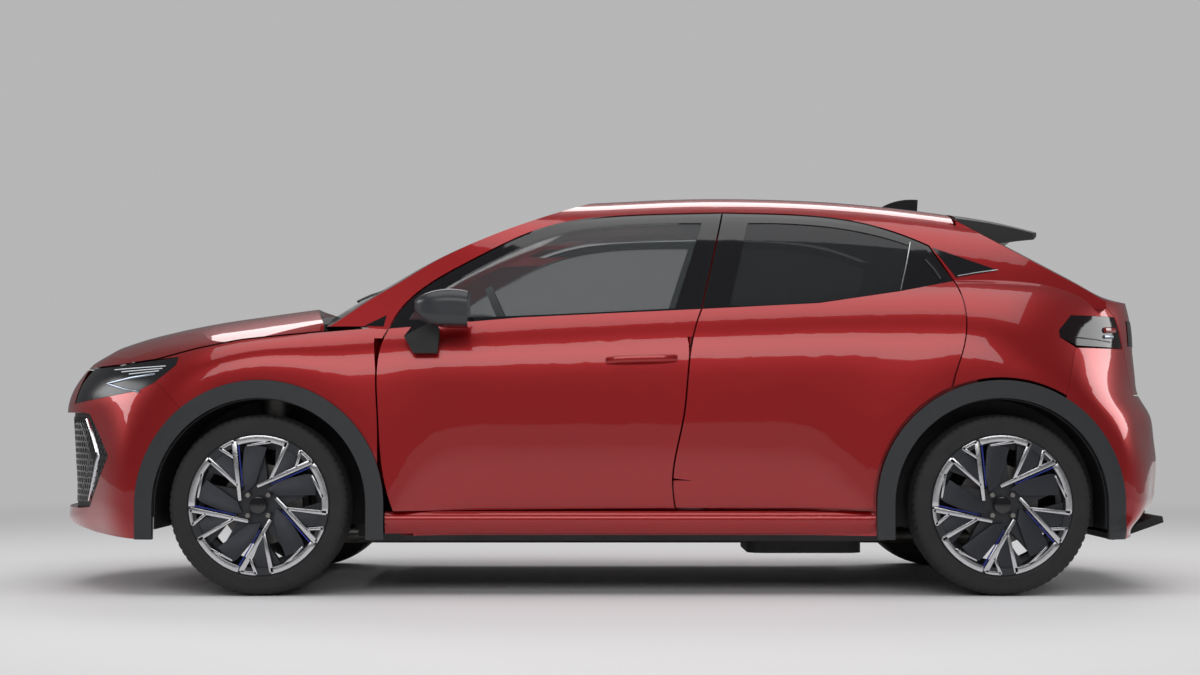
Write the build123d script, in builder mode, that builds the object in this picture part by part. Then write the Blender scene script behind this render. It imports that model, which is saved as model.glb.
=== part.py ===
"""Five-door hatchback: body panels, doors, lids, glass, cabin, running gear and wheels.

Frame: millimetres, +X towards the tail, +Y towards the car's right-hand side, +Z up.
The origin is on the ground, under the centre of the car's length and width.
"""

import os
from math import atan2, cos, degrees, exp, hypot, pi, radians, sin, sqrt

from build123d import *

# ---------------------------------------------------------------- driving dimensions
WHEELBASE = 2591.0
AXLE_MIDPOINT_X = 71.5        # the middle of the wheelbase lies behind the car's middle
HALF_WIDTH = 872.0            # body side at the wheel arches, without cladding
ROOF_Z = 1451.0               # highest point of the roof panel
FLOOR_Z = 185.0               # underside of the floor

TYRE_R = 316.0                # loaded radius of a 205/45 R18 tyre
TYRE_WIDTH = 205.0
RIM_R = 246.0                 # outer radius of the rim flange
WHEEL_Y = 774.0               # wheel centre plane
DISC_R = 142.0
DISC_THICKNESS = 22.0
BOLT_CIRCLE = 100.0
BOLT_R = 6.5
KINGPIN_INSET = 62.0          # steering axis, inboard of the wheel centre plane

ARCH_R = 374.0                # clear radius of a wheel arch
CLADDING_WIDTH = 62.0
CLADDING_PROUD = 11.0
LINER_GAP = 6.0

SHUT_GAP = 6.0                # gap between a moving panel and its neighbour
SEAM = 0.9                    # gap between two fixed panels
SKIN = 32.0                   # depth of a fixed body wall
DOOR_FLANGE = 24.0            # depth of a door's outer flange
DOOR_DEPTH = 104.0            # depth of a whole door
FRAME_DEPTH = 38.0            # depth of a door's window frame
FRAME_FLANGE = 12.0           # depth of its outer flange
FRAME_INSET = 15.0            # its inner part stands inside the flange, so that it swings out clear
ROOF_HALF = HALF_WIDTH - 316  # half-width of the roof panel
PLUG_INSET = 44.0             # a door's inner part stands inside its flange by this much
GLASS = 5.0
HINGE_PIN_R = 5.0
HINGE_KNUCKLE_R = 9.0
PIN_CLEARANCE = 0.3

FRONT_AXLE_X = AXLE_MIDPOINT_X - WHEELBASE / 2
REAR_AXLE_X = AXLE_MIDPOINT_X + WHEELBASE / 2
CLADDING_R = ARCH_R + CLADDING_WIDTH

# The design stations are drawn on these overall sizes; along(), out() and up() carry them
# to the overall sizes set above.
DESIGN_WHEELBASE = 2591.0
DESIGN_AXLE_X = 71.5 - DESIGN_WHEELBASE / 2
DESIGN_HALF_WIDTH = 872.0
DESIGN_ROOF_Z = 1451.0
WAIST_Z = 610.0               # height at which the body side is widest


def along(x):
    """Carry a design station along the car: between the axles it spreads with them."""
    t = min(max((x - DESIGN_AXLE_X) / DESIGN_WHEELBASE, 0), 1)
    return x + (FRONT_AXLE_X - DESIGN_AXLE_X) + t * (WHEELBASE - DESIGN_WHEELBASE)


def out(y):
    """Carry a design distance from the centre plane to the car's width."""
    return y + (HALF_WIDTH - DESIGN_HALF_WIDTH) * min(1, abs(y) / 500) * (1 if y > 0 else -1)


def up(z):
    """Carry a design height: above the waist it spreads with the roof."""
    return z + (ROOF_Z - DESIGN_ROOF_Z) * min(max((z - WAIST_Z) / (DESIGN_ROOF_Z - WAIST_Z), 0), 1)


def curve(*stations):
    """A smooth function through a few stations: cubic, with mean slopes at the stations."""
    xs = [s[0] for s in stations]
    ys = [s[1] for s in stations]
    last = len(xs) - 1
    rise = [(ys[i + 1] - ys[i]) / (xs[i + 1] - xs[i]) for i in range(last)]
    slope = [rise[0]] + [(rise[i] + rise[i + 1]) / 2 for i in range(last - 1)] + [rise[-1]]

    def value(x):
        if x <= xs[0]:
            return ys[0] + slope[0] * (x - xs[0])
        if x >= xs[last]:
            return ys[last] + slope[last] * (x - xs[last])
        i = max(k for k in range(last) if xs[k] <= x)
        h = xs[i + 1] - xs[i]
        t = (x - xs[i]) / h
        return ((2 * t**3 - 3 * t**2 + 1) * ys[i] + (t**3 - 2 * t**2 + t) * h * slope[i]
                + (3 * t**2 - 2 * t**3) * ys[i + 1] + (t**3 - t**2) * h * slope[i + 1])

    return value


def along_curve(*stations):
    return curve(*[(along(x), y) for x, y in stations])


# ---------------------------------------------------------------- the body's outer form
nose_x = curve(*[(up(z), along(x)) for z, x in (
    (150, -1950), (205, -2005), (262, -2052), (330, -2046), (550, -2054), (640, -2058), (700, -2046),
    (760, -2014), (830, -1958), (900, -1896), (1000, -1820), (1120, -1740))])
tail_x = curve(*[(up(z), along(x)) for z, x in (
    (150, 1925), (240, 1962), (300, 2030), (360, 2050), (450, 2058), (530, 2054), (640, 2034),
    (700, 1996), (760, 1984), (880, 1976), (970, 1972), (1050, 1962), (1120, 1935))])
side_y = along_curve(
    (-2058, out(850)), (-1300, out(862)), (-800, out(858)), (-200, out(850)), (400, out(850)),
    (900, out(858)), (1367, out(868)), (1700, out(862)), (2058, out(850)))
shoulder_z = along_curve(
    (-2058, up(880)), (-1900, up(900)), (-1608, up(925)), (-1302, up(975)), (-1045, up(1030)),
    (-780, up(1066)), (0, up(1126)), (900, up(1176)), (1300, up(1186)), (1600, up(1170)), (2058, up(1140)))
roof_z = along_curve(
    (-1150, up(1410)), (-500, up(1424)), (-127, up(1432)), (246, up(1449)), (433, up(1451)),
    (712, up(1445)), (992, up(1424)), (1272, up(1390)), (1552, up(1346)), (1950, up(1270)))
bonnet_line = along_curve(
    (-2100, up(690)), (-2032, up(745)), (-1971, up(808)), (-1934, up(835)), (-1839, up(887)),
    (-1743, up(920)), (-1649, up(943)), (-1459, up(980)), (-1269, up(1008)), (-1078, up(1034)), (-900, up(1056)))
bonnet_droop = along_curve(
    (-2100, 240), (-1925, 206), (-1850, 161), (-1760, 139), (-1608, 100), (-1500, 84), (-1302, 79), (-1045, 77),
    (-900, 77))
tailgate_line = along_curve(
    (1250, up(1392)), (1380, up(1325)), (1555, up(1234)), (1700, up(1157)), (1797, up(1102)),
    (1880, up(1073)), (1960, up(1056)), (2060, up(1040)))
screen_x = curve(*[(up(z), along(x)) for z, x in (
    (900, -1090), (975, -965), (1029, -882), (1104, -752), (1187, -610), (1247, -483), (1308, -330), (1400, -60))])

CORNER_FRONT_X = along(-1180)
CORNER_REAR_X = along(1000)
FRONT_ROUNDNESS = 2.5         # superellipse powers of the nose and tail in plan
REAR_ROUNDNESS = 3.0
FLARE_REACH = 150.0
HOUSE_BASE_Z = up(850)
HOUSE_LEAN = 0.229            # the cabin's side leans in by this share of its width
house_half_width = along_curve(
    (-1150, out(790)), (-700, out(802)), (-200, out(813)), (300, out(815)), (800, out(808)),
    (1200, out(790)), (1500, out(752)), (1750, out(705)), (1950, out(670)))


def section_share(x, z):
    """Share of the full half-width that the side keeps at height z: it rolls in above and below."""
    if z < WAIST_Z:
        return 1 - 0.10 * ((WAIST_Z - z) / 460) ** 2.4
    q = (z - WAIST_Z) / (shoulder_z(x) - WAIST_Z)
    if q < 0.87:
        return (1 - q**4) ** 0.25
    return 0.23 + 0.578 * exp(-2.157 * (q - 0.87))


def flared(x, z, base, corner):
    """The side bulges out to one upright plane round each wheel arch, and not in mid-nose or mid-tail."""
    y = base
    rise = min(max((corner - 0.25) / 0.55, 0.0), 1.0)
    fade = rise * rise * (3 - 2 * rise)
    for axle_x, reach in ((FRONT_AXLE_X, -1), (REAR_AXLE_X, 1)):
        r = sqrt((x - axle_x) ** 2 + (z - TYRE_R) ** 2)
        ahead = max(0.0, reach * (x - axle_x)) / CLADDING_R
        plane = HALF_WIDTH - 26 * min(ahead, 1.3) ** 2
        share = 1.0 if r < CLADDING_R else exp(-((r - CLADDING_R) / FLARE_REACH) ** 2)
        y = max(y, base + (plane - base) * share * fade)
    return y


def side_point(x, z, inset, corner=1.0):
    base = side_y(x) * section_share(x, z) * corner
    return (x, -(flared(x, z, base, corner) - inset) if corner > 0 else 0.0, z)


def nose_row(z, inset, back_x):
    """Plan line of the left front, from the nose's middle round the corner and back."""
    front = nose_x(z) + inset
    row = []
    for k in range(9):
        t = k / 9 * pi / 2
        x = CORNER_FRONT_X + (front - CORNER_FRONT_X) * cos(t) ** (2 / FRONT_ROUNDNESS)
        corner = sin(t) ** (2 / FRONT_ROUNDNESS)
        row.append(side_point(x, z, inset * corner, corner))
    steps = 6
    for k in range(steps + 1):
        x = CORNER_FRONT_X + (back_x - CORNER_FRONT_X) * k / steps
        row.append(side_point(x, z, inset))
    return row


def tail_row(z, inset, front_x):
    """Plan line of the left rear, from the side back round the corner to the tail's middle."""
    back = tail_x(z) - inset
    row = []
    steps = 5
    for k in range(steps):
        x = front_x + (CORNER_REAR_X - front_x) * k / steps
        row.append(side_point(x, z, inset))
    for k in range(11, -1, -1):
        t = k / 11 * pi / 2
        x = CORNER_REAR_X + (back - CORNER_REAR_X) * cos(t) ** (2 / REAR_ROUNDNESS)
        corner = sin(t) ** (2 / REAR_ROUNDNESS)
        row.append(side_point(x, z, inset * corner, corner))
    return row


FRONT_LEVELS = [up(z) for z in (130, 200, 262, 330, 420, 500, 570, 640, 700, 760, 830, 900, 980, 1060, 1140)]
REAR_LEVELS = [up(z) for z in (130, 200, 262, 330, 420, 500, 570, 640, 700, 760, 830, 900, 970, 1050, 1120, 1200)]
SURFACE_TOL = 0.4


def surface(rows):
    return Face.make_surface_from_array_of_points(rows, tol=SURFACE_TOL)


def front_wall(inset, depth):
    """A wall behind the left front skin, between two offsets of it."""
    rows = [nose_row(z, inset, along(-700)) for z in FRONT_LEVELS]
    return Solid.extrude(surface(rows), Vector(depth, depth, 0))


def side_wall(inset, depth, first=-1020, last=1400):
    """A wall behind the left body side, between two offsets of its skin."""
    steps = round((last - first) / 110)
    rows = [[side_point(along(first + (last - first) * k / steps), z, inset) for k in range(steps + 1)]
            for z in [up(h) for h in (130, 230, 330, 430, 520, 610, 700, 790, 870, 940, 1010, 1090, 1160)]]
    return Solid.extrude(surface(rows), Vector(0, depth, 0))


def rear_wall(inset, depth):
    rows = [tail_row(z, inset, along(760)) for z in REAR_LEVELS]
    return Solid.extrude(surface(rows), Vector(-depth, depth, 0))


def house_point(x, q, c, inset):
    """Point of the cabin's skin: q is the share of its height, c the share of its width there."""
    height = roof_z(x) - HOUSE_BASE_Z
    half = house_half_width(x)
    y = half * c * (1 - HOUSE_LEAN * q) - inset * c
    return (x, -y, HOUSE_BASE_Z + (height - inset * q**6) * q)


def house_shares():
    """Shares of height and width round one half of the cabin's section, from belt to centre line."""
    sides = [(q, (1 - q**10) ** (1 / 2.8)) for q in (0, 0.12, 0.24, 0.36, 0.48, 0.6, 0.7, 0.78, 0.84, 0.89)]
    tops = [((1 - c**2.8) ** 0.1, c) for c in (0.8, 0.7, 0.58, 0.45, 0.3, 0.15, 0.0)]
    return sides + tops


def house_wall(inset, depth):
    """A wall behind the cabin's left skin, from the belt to the roof's centre line."""
    rows = [[house_point(along(-1140 + 3060 * k / 26), q, c, inset) for k in range(27)]
            for q, c in house_shares()]
    return Solid.extrude(surface(rows), Vector(0, depth, -depth))


def roof_wall(inset, depth):
    shares = house_shares()[8:]
    half = [(q, c, 1) for q, c in shares] + [(q, c, -1) for q, c in shares[-2::-1]]
    rows = []
    for q, c, side in half:
        row = [house_point(along(-700 + 2300 * k / 18), q, c, inset) for k in range(19)]
        rows.append([(x, side * y, z) for x, y, z in row])
    return Solid.extrude(surface(rows), Vector(0, 0, -depth))


TAILGATE_CROWN = 62.0


def bonnet_z(x, y):
    return bonnet_line(x) - bonnet_droop(x) * (abs(y) / out(720)) ** 3


def tailgate_z(x, y):
    return tailgate_line(x) - TAILGATE_CROWN * (abs(y) / out(620)) ** 2.5


def sheet(height, first, last, half, drop, thickness):
    """A slab under a surface that is given as a height over the plan."""
    nx = round((last - first) / 50)
    ny = 16
    rows = [[(along(first + (last - first) * i / nx), half * (2 * j / ny - 1),
              height(along(first + (last - first) * i / nx), half * (2 * j / ny - 1)) - drop)
             for i in range(nx + 1)] for j in range(ny + 1)]
    return Solid.extrude(surface(rows), Vector(0, 0, -thickness))


def screen_point(y, z, inset):
    bow = 128 - 40 * (z - up(950)) / 430
    return (screen_x(z) - bow * (1 - (y / out(700)) ** 2) + inset, y, z - inset * 0.6)


def screen_wall(inset, depth):
    """A wall behind the windscreen's surface; a negative depth lies outside it."""
    rows = [[screen_point(out(780) * (2 * j / 12 - 1), up(900 + 540 * i / 12), inset) for j in range(13)]
            for i in range(13)]
    return Solid.extrude(surface(rows), Vector(depth, 0, -0.6 * depth))


OUTSIDE = 420.0
TAILGATE_SPAN = (1230, 2100, out(900))
above_tailgate = sheet(tailgate_z, *TAILGATE_SPAN, 0, -OUTSIDE)
ahead_of_screen = screen_wall(0, -OUTSIDE)


# ---------------------------------------------------------------- helpers for pieces
os.makedirs("parts", exist_ok=True)


def save(name, piece):
    piece.part.label = name
    export_step(piece.part, f"parts/{name}.step")


def save_pair(name, left):
    """Write the left-hand piece and its mirror image."""
    save(f"{name}_left", left)
    with BuildPart() as right:
        add(mirror(left.part, about=Plane.XZ))
    save(f"{name}_right", right)


def save_both(name, left):
    """Write a left-hand piece and its mirror image as the two solids of one node."""
    with BuildPart() as both:
        add(left.part)
        mirror(about=Plane.XZ)
    save(name, both)


def design(points):
    return [(along(x), up(z)) for x, z in points]


def keep(solid):
    add(solid, mode=Mode.INTERSECT)


def cut(solid):
    add(solid, mode=Mode.SUBTRACT)


# ---------------------------------------------------------------- lines drawn on the body side
FRONT_DOOR_LEAD = design([(-757, 292), (-798, 451), (-812, 640), (-817, 790), (-800, 890), (-781, 932)])
B_LINE = design([(231, 302), (222, 428), (259, 621), (288, 880), (327, 1008)])
B_TOP = design([(409, 1362)])[0]
FRONT_DOOR_TOP = design([(64, 1352), (-225, 1308), (-481, 1190), (-604, 1121), (-731, 1018)])
REAR_DOOR_TOP = design([(641, 1356), (756, 1348), (900, 1326), (1000, 1298), (1148, 1238)])
REAR_DOOR_TAIL = design([(1229, 1112), (1252, 1010), (1246, 900), (1217, 801)])
TAIL_CUT_R = CLADDING_R + 10.0
BELT = design([(-1010, 925), (-784, 930), (-316, 971), (322, 1001), (741, 1022), (1034, 1066), (1227, 1104),
               (1500, 1170)])
belt_z = curve(*BELT)


def arch_point(axle_x, radius, angle):
    return (axle_x + radius * cos(radians(angle)), TYRE_R + radius * sin(radians(angle)))


def front_door_outline():
    Spline(*FRONT_DOOR_LEAD)
    Spline(*[FRONT_DOOR_LEAD[-1]] + FRONT_DOOR_TOP[::-1] + [B_TOP])
    Line(B_TOP, B_LINE[-1])
    Spline(*B_LINE[::-1])
    Line(B_LINE[0], FRONT_DOOR_LEAD[0])


def rear_door_outline():
    low_angle = 180 + degrees(atan2(13, TAIL_CUT_R))
    high = arch_point(REAR_AXLE_X, TAIL_CUT_R, 113)
    low = arch_point(REAR_AXLE_X, TAIL_CUT_R, low_angle)
    Spline(*B_LINE)
    Line(B_LINE[-1], B_TOP)
    Spline(*[B_TOP] + REAR_DOOR_TOP)
    Line(REAR_DOOR_TOP[-1], REAR_DOOR_TAIL[0])
    Spline(*REAR_DOOR_TAIL + [high])
    ThreePointArc(high, arch_point(REAR_AXLE_X, TAIL_CUT_R, 147), low)
    Line(low, B_LINE[0])


FRONT_WINDOW = design([(-712, 968), (-316, 982), (232, 1008), (333, 1322), (60, 1316), (-215, 1271), (-470, 1153),
                       (-600, 1078), (-690, 1008)])
REAR_WINDOW = design([(424, 1018), (741, 1032), (1034, 1076), (1076, 1240), (930, 1284), (760, 1312), (498, 1322)])


def window_outline(points, bottom):
    """A side window: its lower edge follows the belt, its upper edge the roof."""
    Spline(*points[:bottom])
    Line(points[bottom - 1], points[bottom])
    Spline(*points[bottom:])
    Line(points[-1], points[0])


def redrawn(wire):
    """The outline's edges, each curve that an offset made drawn again as a plain spline."""
    edges = []
    for edge in wire.edges():
        if edge.geom_type not in (GeomType.LINE, GeomType.CIRCLE):
            edge = Edge.make_spline([edge.position_at(k / 10) for k in range(11)])
        edges.append(edge)
    return edges


def side_prism(draw, grow=0.0):
    """A prism through the car's left half over an outline drawn on the side view."""
    with BuildSketch() as outline:
        with BuildLine():
            draw()
        make_face()
        if grow:
            offset(amount=grow)
    with BuildPart() as prism:
        with BuildSketch(Plane.XZ):
            with BuildLine():
                add(redrawn(outline.face().outer_wire()))
            make_face()
        extrude(amount=HALF_WIDTH + 60)
    return prism.part


def side_polygon(*points, grow=0.0):
    return side_prism(lambda: Polyline(*design(points), close=True), grow)


def below_belt(rise):
    """Side-view outline of all that lies under the belt line, raised by a little."""
    Polyline(*[(x, z + rise) for x, z in BELT], design([(1500, 120)])[0], design([(-1010, 120)])[0], close=True)


def wheel_cylinder(axle_x, radius, inner_y):
    """The space of a left wheel arch, from inner_y out past the body side."""
    with BuildPart() as space:
        with BuildSketch(Plane.XZ.offset(inner_y)):
            with Locations((axle_x, TYRE_R)):
                Circle(radius)
            with Locations((axle_x, TYRE_R - radius / 2)):
                Rectangle(2 * radius, radius)
        extrude(amount=HALF_WIDTH + 60 - inner_y)
    return space.part


front_door_prism = side_prism(front_door_outline, -SHUT_GAP / 2)
rear_door_prism = side_prism(rear_door_outline, -SHUT_GAP / 2)
front_aperture = side_prism(front_door_outline, SHUT_GAP / 2)
rear_aperture = side_prism(rear_door_outline, SHUT_GAP / 2)
front_plug = side_prism(front_door_outline, -PLUG_INSET)
rear_plug = side_prism(rear_door_outline, -PLUG_INSET)
front_plug_room = side_prism(front_door_outline, SHUT_GAP + 2 - PLUG_INSET)
rear_plug_room = side_prism(rear_door_outline, SHUT_GAP + 2 - PLUG_INSET)
under_belt = side_prism(lambda: below_belt(4))

# ---------------------------------------------------------------- doors
FRONT_HINGE_X = along(-757)
REAR_HINGE_X = along(286)
HINGE_Y = HALF_WIDTH - 46
HINGE_HEIGHTS = (up(430), up(750))
HINGE_KNUCKLE = 26.0          # height of the door's knuckle
TUCK_CLEARANCE = 2.0
HINGE_SWEEP_R = 71.0          # room for the part of a door that swings in ahead of its pin
LEAF_REACH = 72.0             # how far a pillar's leaf reaches in from the pin
LEAF_WIDTH = 2 * HINGE_KNUCKLE_R


def door_shell(outline, plug, frame_core, window, window_bottom, first, last):
    with BuildPart() as rim:
        add(side_wall(0, DOOR_FLANGE, first, last))
        keep(outline)
        keep(under_belt)
    with BuildPart() as core:
        add(side_wall(0, DOOR_DEPTH, first, last))
        keep(plug)
        keep(under_belt)
    with BuildPart() as frame_flange:
        add(house_wall(0, FRAME_FLANGE))
        keep(outline)
    with BuildPart() as frame:
        add(house_wall(0, FRAME_DEPTH))
        keep(frame_core)
        add(frame_flange.part)
        cut(side_prism(lambda: below_belt(-12)))
        split(bisect_by=Plane.XZ.offset(ROOF_HALF + SHUT_GAP), keep=Keep.TOP)
    with BuildPart() as shell:
        add(rim.part)
        add(core.part)
        add(frame.part)
        cut(side_prism(lambda: window_outline(window, window_bottom)))
    return shell


def hinge_knuckles(x):
    """The door's half of its two hinges: a bored knuckle that stands in from the flange."""
    with BuildPart() as knuckles:
        for z in HINGE_HEIGHTS:
            with BuildSketch(Plane.XY.offset(z)):
                with Locations((x, -HINGE_Y)):
                    Circle(HINGE_KNUCKLE_R)
                with Locations((x + 12, -HINGE_Y - 4)):
                    Rectangle(30, 10)
                with Locations((x, -HINGE_Y)):
                    Circle(HINGE_PIN_R + PIN_CLEARANCE, mode=Mode.SUBTRACT)
            extrude(amount=HINGE_KNUCKLE / 2, both=True)
    return knuckles.part


def hinge_room(x):
    """Room in a door for the pillar's leaves, above and below each knuckle."""
    with BuildPart() as room:
        for z in HINGE_HEIGHTS:
            with BuildSketch(Plane.XY.offset(z)):
                with Locations((x - 21, -HINGE_Y + 50)):
                    Rectangle(84, 2 * (50 + HINGE_KNUCKLE_R + 2))
            extrude(amount=HINGE_KNUCKLE / 2 + 16, both=True)
    return room.part


def hinge_leaves(x):
    """The pillar's half of the two hinges: two leaves and the pin that runs through them."""
    with BuildPart() as leaves:
        for z in HINGE_HEIGHTS:
            for side in (-1, 1):
                with BuildSketch(Plane.XY.offset(z + side * (HINGE_KNUCKLE / 2 + 0.3 + 3))):
                    with Locations((x, -HINGE_Y)):
                        Circle(HINGE_KNUCKLE_R)
                    with Locations((x, -HINGE_Y + LEAF_REACH / 2)):
                        Rectangle(LEAF_WIDTH, LEAF_REACH)
                    with Locations((x - 18, -HINGE_Y + LEAF_REACH - LEAF_WIDTH / 2)):
                        Rectangle(54, LEAF_WIDTH)
                extrude(amount=3, both=True)
            with BuildSketch(Plane.XY.offset(z)):
                with Locations((x, -HINGE_Y)):
                    Circle(HINGE_PIN_R)
            extrude(amount=HINGE_KNUCKLE / 2 + 6, both=True)
    return leaves.part


def sweep_room(x, radius=HINGE_SWEEP_R):
    """Room round a door's pins for the edge that swings in."""
    with BuildPart() as room:
        with BuildSketch(Plane.XY.offset(up(150))):
            with Locations((x, -HINGE_Y)):
                Circle(radius)
        extrude(amount=up(900) - up(150))
    return room.part


b_line_x = curve(*[(z, x) for x, z in B_LINE])


def tuck_room():
    """Room behind the front door's rear edge for the rear door's leading edge as it tucks in."""
    radii = []
    for step in range(25):
        z = up(285) + step * (up(905) - up(285)) / 24
        edge_x = b_line_x(z) + SHUT_GAP / 2
        edge_out = max(-side_point(edge_x, z, 0)[1] - HINGE_Y, 0)
        radii.append((hypot(REAR_HINGE_X - edge_x, edge_out) + TUCK_CLEARANCE, z))
    with BuildPart() as room:
        with BuildSketch(Plane.XZ):
            with BuildLine():
                Polyline((0, radii[0][1]), *radii, (0, radii[-1][1]), close=True)
            make_face()
        revolve(axis=Axis.Z)
    return Pos(REAR_HINGE_X, -HINGE_Y, 0) * room.part


def finished_door(shell, hinge_x):
    with BuildPart() as door:
        add(shell.part)
        cut(hinge_room(hinge_x))
        add(hinge_knuckles(hinge_x))
    return door


front_shell = door_shell(front_door_prism, front_plug, side_prism(front_door_outline, -FRAME_INSET),
                         FRONT_WINDOW, 3, -960, 480)
rear_shell = door_shell(rear_door_prism, rear_plug, side_prism(rear_door_outline, -FRAME_INSET),
                        REAR_WINDOW, 3, 140, 1400)
with BuildPart() as trimmed_front_shell:
    add(front_shell.part)
    cut(tuck_room())
front_door = finished_door(trimmed_front_shell, FRONT_HINGE_X)
rear_door = finished_door(rear_shell, REAR_HINGE_X)

with BuildPart() as front_glass:
    add(house_wall(4, GLASS))
    keep(side_prism(lambda: window_outline(FRONT_WINDOW, 3), -PIN_CLEARANCE))
with BuildPart() as rear_glass:
    add(house_wall(4, GLASS))
    keep(side_prism(lambda: window_outline(REAR_WINDOW, 3), -PIN_CLEARANCE))

save_pair("front_door", front_door)
save_pair("rear_door", rear_door)
save_pair("front_door_glass", front_glass)
save_pair("rear_door_glass", rear_glass)

# ---------------------------------------------------------------- lines of the front and rear panels
LAMP_LINE = design([(-1925, 796), (-1760, 806), (-1608, 824), (-1520, 834), (-1524, 806), (-1600, 745),
                    (-1660, 716), (-1858, 686), (-1960, 672)])
BONNET_EDGE = [(-2200, 800), (-1925, 800), (-1760, 810), (-1608, 828), (-1520, 850), (-1455, 866), (-1302, 896),
               (-1045, 922), (-860, 938)]
FENDER_LINE = BONNET_EDGE[3:] + [(-781, 932), (-800, 890), (-817, 790), (-812, 640), (-798, 451), (-757, 289),
                                 (-1000, 500), (-1400, 560), (-1501, 655), (-1580, 735), (-1600, 745),
                                 (-1524, 806), (-1520, 834)]


def hood_rear_edge(behind):
    """Plan outline ahead of the bonnet's bowed rear edge, moved back by a distance."""
    side, middle = along(-1003) + behind, along(-1104) + behind
    ThreePointArc((side, -out(800)), (middle, 0), (side, out(800)))
    Polyline((side, out(800)), (side, out(1000)), (along(-2200), out(1000)), (along(-2200), -out(1000)),
             (side, -out(1000)), (side, -out(800)))


def plan_prism(draw, low, high):
    with BuildPart() as prism:
        with BuildSketch(Plane.XY.offset(low)):
            with BuildLine():
                draw()
            make_face()
        extrude(amount=high - low)
    return prism.part


BONNET_DEPTH = 24.0
nose_inside_left = Solid.extrude(surface([nose_row(z, 1, along(-700)) for z in FRONT_LEVELS]),
                                 Vector(1100, 1100, 0))
BONNET_HINGE_X = along(-1045)
BONNET_HINGE_Z = up(958)
BONNET_HINGE_Y = out(652)     # between the bonnet's boss and the bracket that carries it
BONNET_BOSS = 18.0
BONNET_CORNER_X = BONNET_HINGE_X + 22  # the bonnet's corner ends here, and so swings down clear of the fender
BONNET_CORNER_Y = out(758)
BRACKET_THICKNESS = 8.0


def disc_across(x, y, z, radius, depth):
    """A round block on an axis across the car, from y outwards to the left."""
    with BuildPart() as block:
        with BuildSketch(Plane.XZ.offset(y)):
            with Locations((x, z)):
                Circle(radius)
        extrude(amount=depth)
    return block.part


def left_block(x_low, x_high, y_low, y_high, z_low, z_high):
    """A block on the car's left between two distances from its middle."""
    with BuildPart() as block:
        with BuildSketch(Plane.XZ.offset(y_low)):
            with Locations(((x_low + x_high) / 2, (z_low + z_high) / 2)):
                Rectangle(x_high - x_low, z_high - z_low)
        extrude(amount=y_high - y_low)
    return block.part


with BuildPart() as bonnet_half:
    add(sheet(bonnet_z, -2090, -860, out(900), 0, BONNET_DEPTH))
    keep(nose_inside_left)
    keep(plan_prism(lambda: hood_rear_edge(0), up(500), up(1200)))
    keep(side_polygon(*BONNET_EDGE, (-860, 1200), (-2200, 1200), grow=-SHUT_GAP / 2))
    cut(left_block(BONNET_CORNER_X, BONNET_CORNER_X + 60, BONNET_CORNER_Y, out(1000), up(700), up(1000)))
    cut(left_block(BONNET_HINGE_X - 20, BONNET_HINGE_X + 60, BONNET_HINGE_Y, BONNET_HINGE_Y + BRACKET_THICKNESS + 5,
                   BONNET_HINGE_Z - 60, BONNET_HINGE_Z + 14))
    add(disc_across(BONNET_HINGE_X, BONNET_HINGE_Y - BONNET_BOSS, BONNET_HINGE_Z, 12, BONNET_BOSS))
    cut(disc_across(BONNET_HINGE_X, BONNET_HINGE_Y - BONNET_BOSS - 10, BONNET_HINGE_Z, HINGE_PIN_R + PIN_CLEARANCE,
                    BONNET_BOSS + 20))
    split(bisect_by=Plane.XZ, keep=Keep.TOP)
with BuildPart() as bonnet:
    add(bonnet_half.part)
    mirror(about=Plane.XZ)
save("bonnet", bonnet)

# ---------------------------------------------------------------- fixed front panels
front_left_wall = front_wall(0, SKIN)
with BuildPart() as front_fender:
    add(front_left_wall)
    keep(side_polygon(*FENDER_LINE, grow=-SEAM / 2))
    cut(side_polygon(*BONNET_EDGE[2:], (-860, 1200), (-1760, 1200), grow=SHUT_GAP / 2))
    cut(wheel_cylinder(FRONT_AXLE_X, CLADDING_R + SEAM, 0))
    cut(front_aperture)
    cut(sweep_room(FRONT_HINGE_X))
save_pair("front_fender", front_fender)

BUMPER_LINE = [(-2100, 796.5), (-1925, 796.5), (-1960, 672), (-1858, 686), (-1660, 716), (-1600, 745), (-1580, 735),
               (-1501, 655), (-1400, 560), (-1400, 150), (-1600, 190), (-1663, 197), (-1850, 210), (-2000, 236),
               (-2100, 258)]
GRILLE_LINE = [(-2100, 640), (-1905, 640), (-1872, 634), (-1775, 486), (-1870, 300), (-1935, 292), (-2100, 292)]
with BuildPart() as bumper_half:
    add(front_wall(0, SKIN + 10))
    keep(side_polygon(*BUMPER_LINE, grow=-SEAM / 2))
    cut(wheel_cylinder(FRONT_AXLE_X, CLADDING_R + SEAM, 0))
    cut(side_polygon(*GRILLE_LINE))
    split(bisect_by=Plane.XZ, keep=Keep.TOP)
with BuildPart() as front_bumper:
    add(bumper_half.part)
    mirror(about=Plane.XZ)
save("front_bumper", front_bumper)

with BuildPart() as grille_half:
    add(front_wall(26, 12))
    keep(side_polygon(*GRILLE_LINE, grow=-1))
    split(bisect_by=Plane.XZ, keep=Keep.TOP)
with BuildPart() as grille:
    add(grille_half.part)
    mirror(about=Plane.XZ)
save("grille", grille)

with BuildPart() as headlamp:
    add(front_wall(2, 60))
    keep(side_prism(lambda: Polyline(*LAMP_LINE, close=True), -SEAM / 2))
    cut(front_fender.part)
    split(bisect_by=Plane.XZ.offset(out(480)), keep=Keep.TOP)
save_both("headlamps", headlamp)

# ---------------------------------------------------------------- windscreen and roof
def screen_outline():
    low, high = (out(728), up(960)), (out(536), up(1405))
    Polyline((-low[0], low[1]), low, high, (-high[0], high[1]), close=True)


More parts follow.
